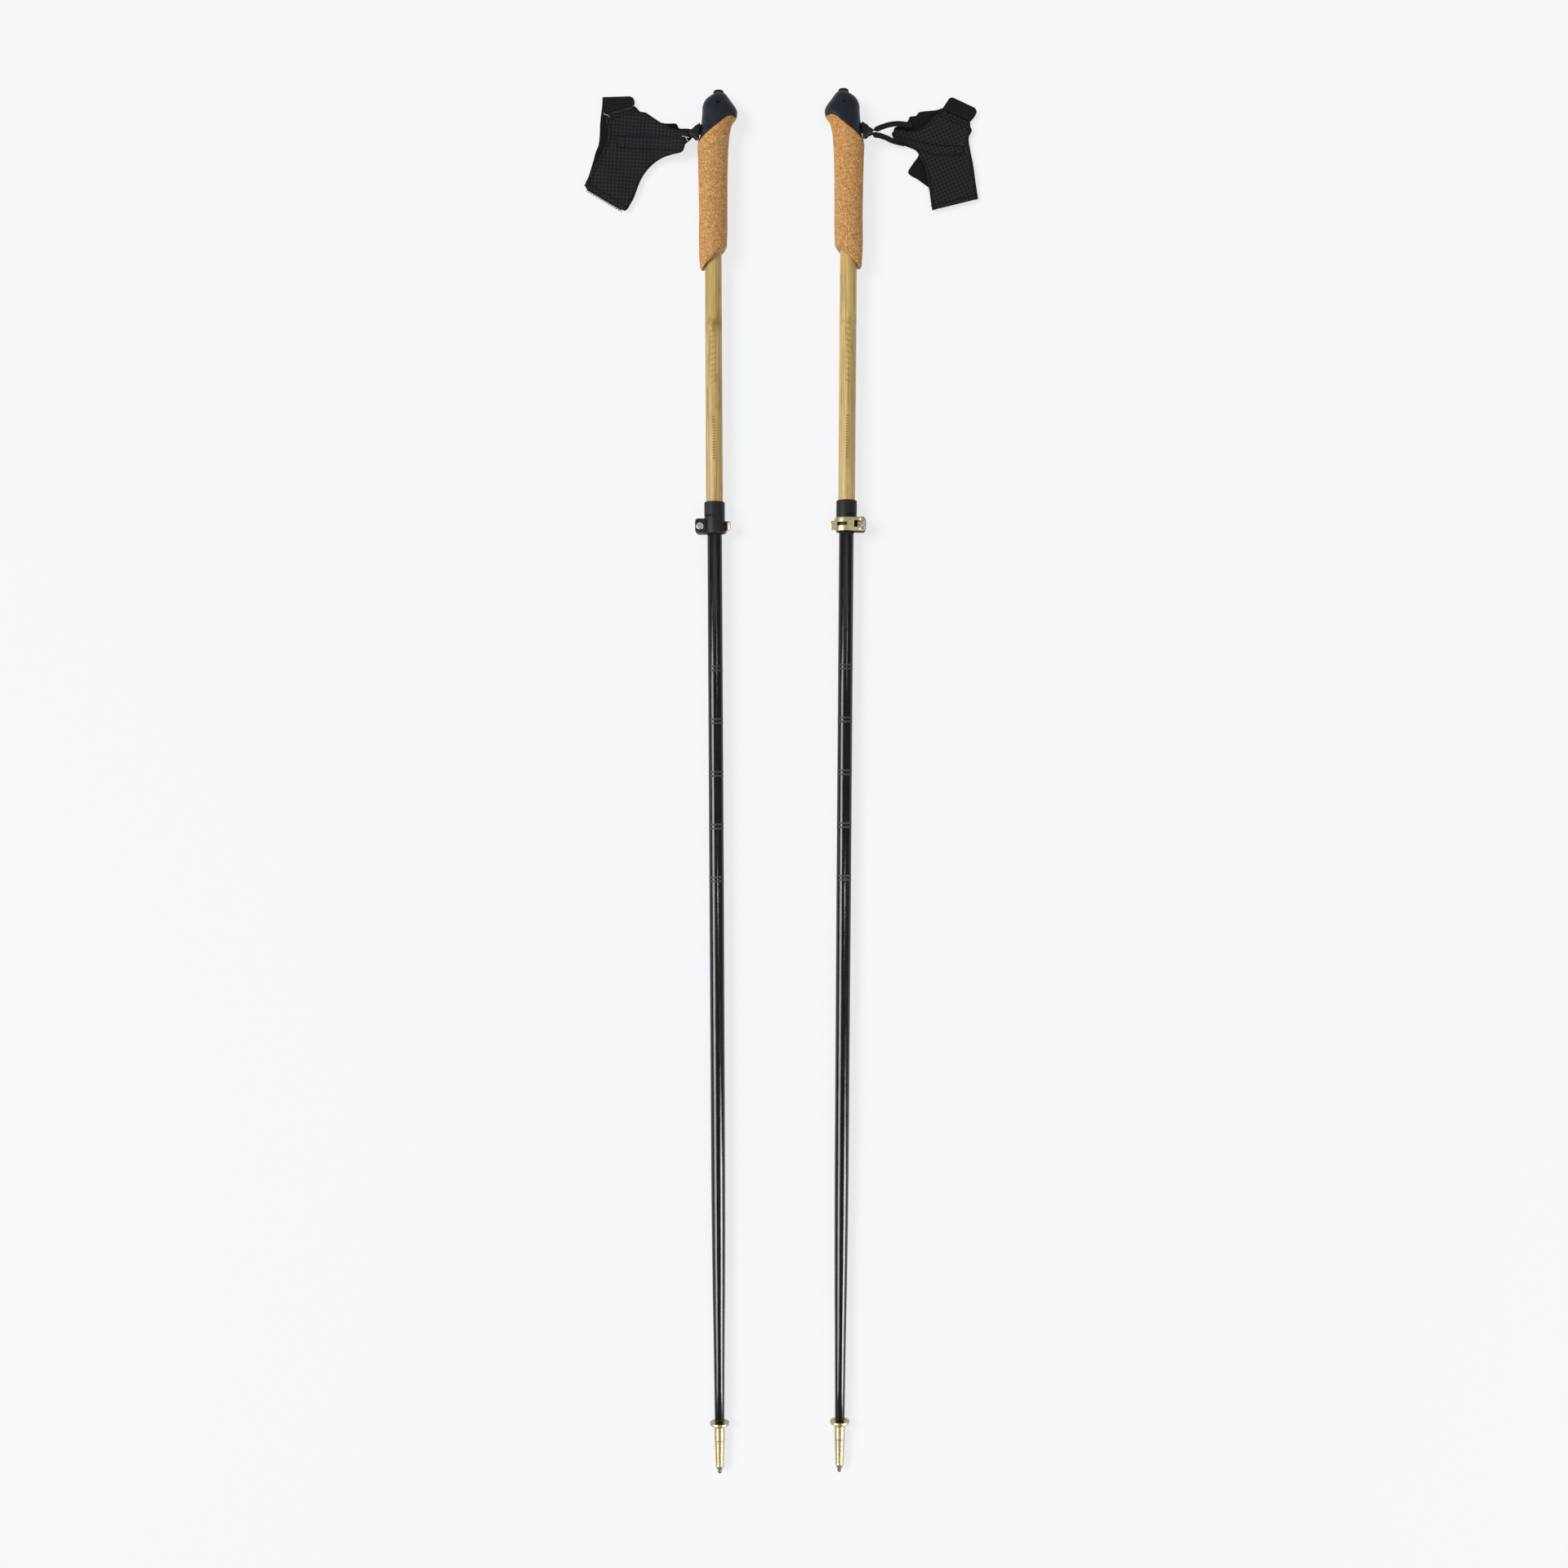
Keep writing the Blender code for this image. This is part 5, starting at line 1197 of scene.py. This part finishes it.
def lamp(name, kind, place, aim, energy, size=(1.0, 1.0), **settings):
    """A lamp at a place, turned to shine at a point; an area lamp has a width and a length."""
    data = bpy.data.lights.new(name, kind)
    data.energy = energy
    if kind == "AREA":
        data.shape, data.size, data.size_y = "RECTANGLE", size[0], size[1]
    for key, value in settings.items():
        setattr(data, key, value)
    made = bpy.data.objects.new(name, data)
    bpy.context.scene.collection.objects.link(made)
    made.location = place
    way = np.array(aim, float) - np.array(place, float)
    made.rotation_mode = "QUATERNION"
    made.rotation_quaternion = Vector(way).to_track_quat("-Z", "Y")
    return made


key = lamp("soft_key_left", "SUN", (-1.1, 0.3, 1.5), (0, 0, 0), 1.95, angle=math.radians(28))
key.visible_glossy = False
for name, place, aim, energy, size in (
        ("strip_over_upper_tube", (0.66, 0.37, 1.5), (0.0, 0.19, 0.0), 0.8, (0.04, 0.34)),
        ("strip_over_middle", (0.50, -0.22, 1.5), (0.0, -0.11, 0.0), 1.6, (0.04, 0.34)),
        ("softbox_right", (1.70, -1.10, 1.15), (0.0, -0.46, 0.0), 52.0, (0.7, 1.15)),
        ("softbox_left", (-1.35, -0.42, 1.25), (0.0, -0.17, 0.0), 62.0, (1.7, 1.05)),
        ("card_over_locks", (0.0, 0.54, 1.5), (0.0, 0.27, 0.0), 0.9, (1.6, 0.2))):
    mirrored = lamp(name, "AREA", place, aim, energy, size)
    mirrored.visible_diffuse = False
    mirrored.visible_camera = False

# how bright the sky is as light and in reflections, and how much brighter behind the table
SKY_LIGHT, SKY_IN_GLOSS, SKY_BEHIND = 0.44, 0.30, 0.5
world = bpy.data.worlds.new("soft_studio")
bpy.context.scene.world = world
world.use_nodes = True
sky = world.node_tree
ray = node(sky, "ShaderNodeLightPath").outputs
level = stepped(sky, ray["Is Glossy Ray"], 0.0, 1.0, SKY_LIGHT, SKY_IN_GLOSS)
level = maths(sky, "MULTIPLY_ADD", ray["Is Camera Ray"], SKY_BEHIND, level)
sky.links.new(level, sky.nodes["Background"].inputs["Strength"])
sky.nodes["Background"].inputs["Color"].default_value = linear("#fbfbff")

camera = bpy.data.objects.new("camera", bpy.data.cameras.new("camera"))
bpy.context.scene.collection.objects.link(camera)
camera.location = CAMERA_AT
camera.data.sensor_width = SENSOR
camera.data.lens = SENSOR * (CAMERA_AT[2] - SHAFT_HEIGHT) / SEEN_WIDTH
bpy.context.scene.camera = camera
bpy.context.scene.view_settings.view_transform = "Standard"
print("lens", round(camera.data.lens, 2), "mm")
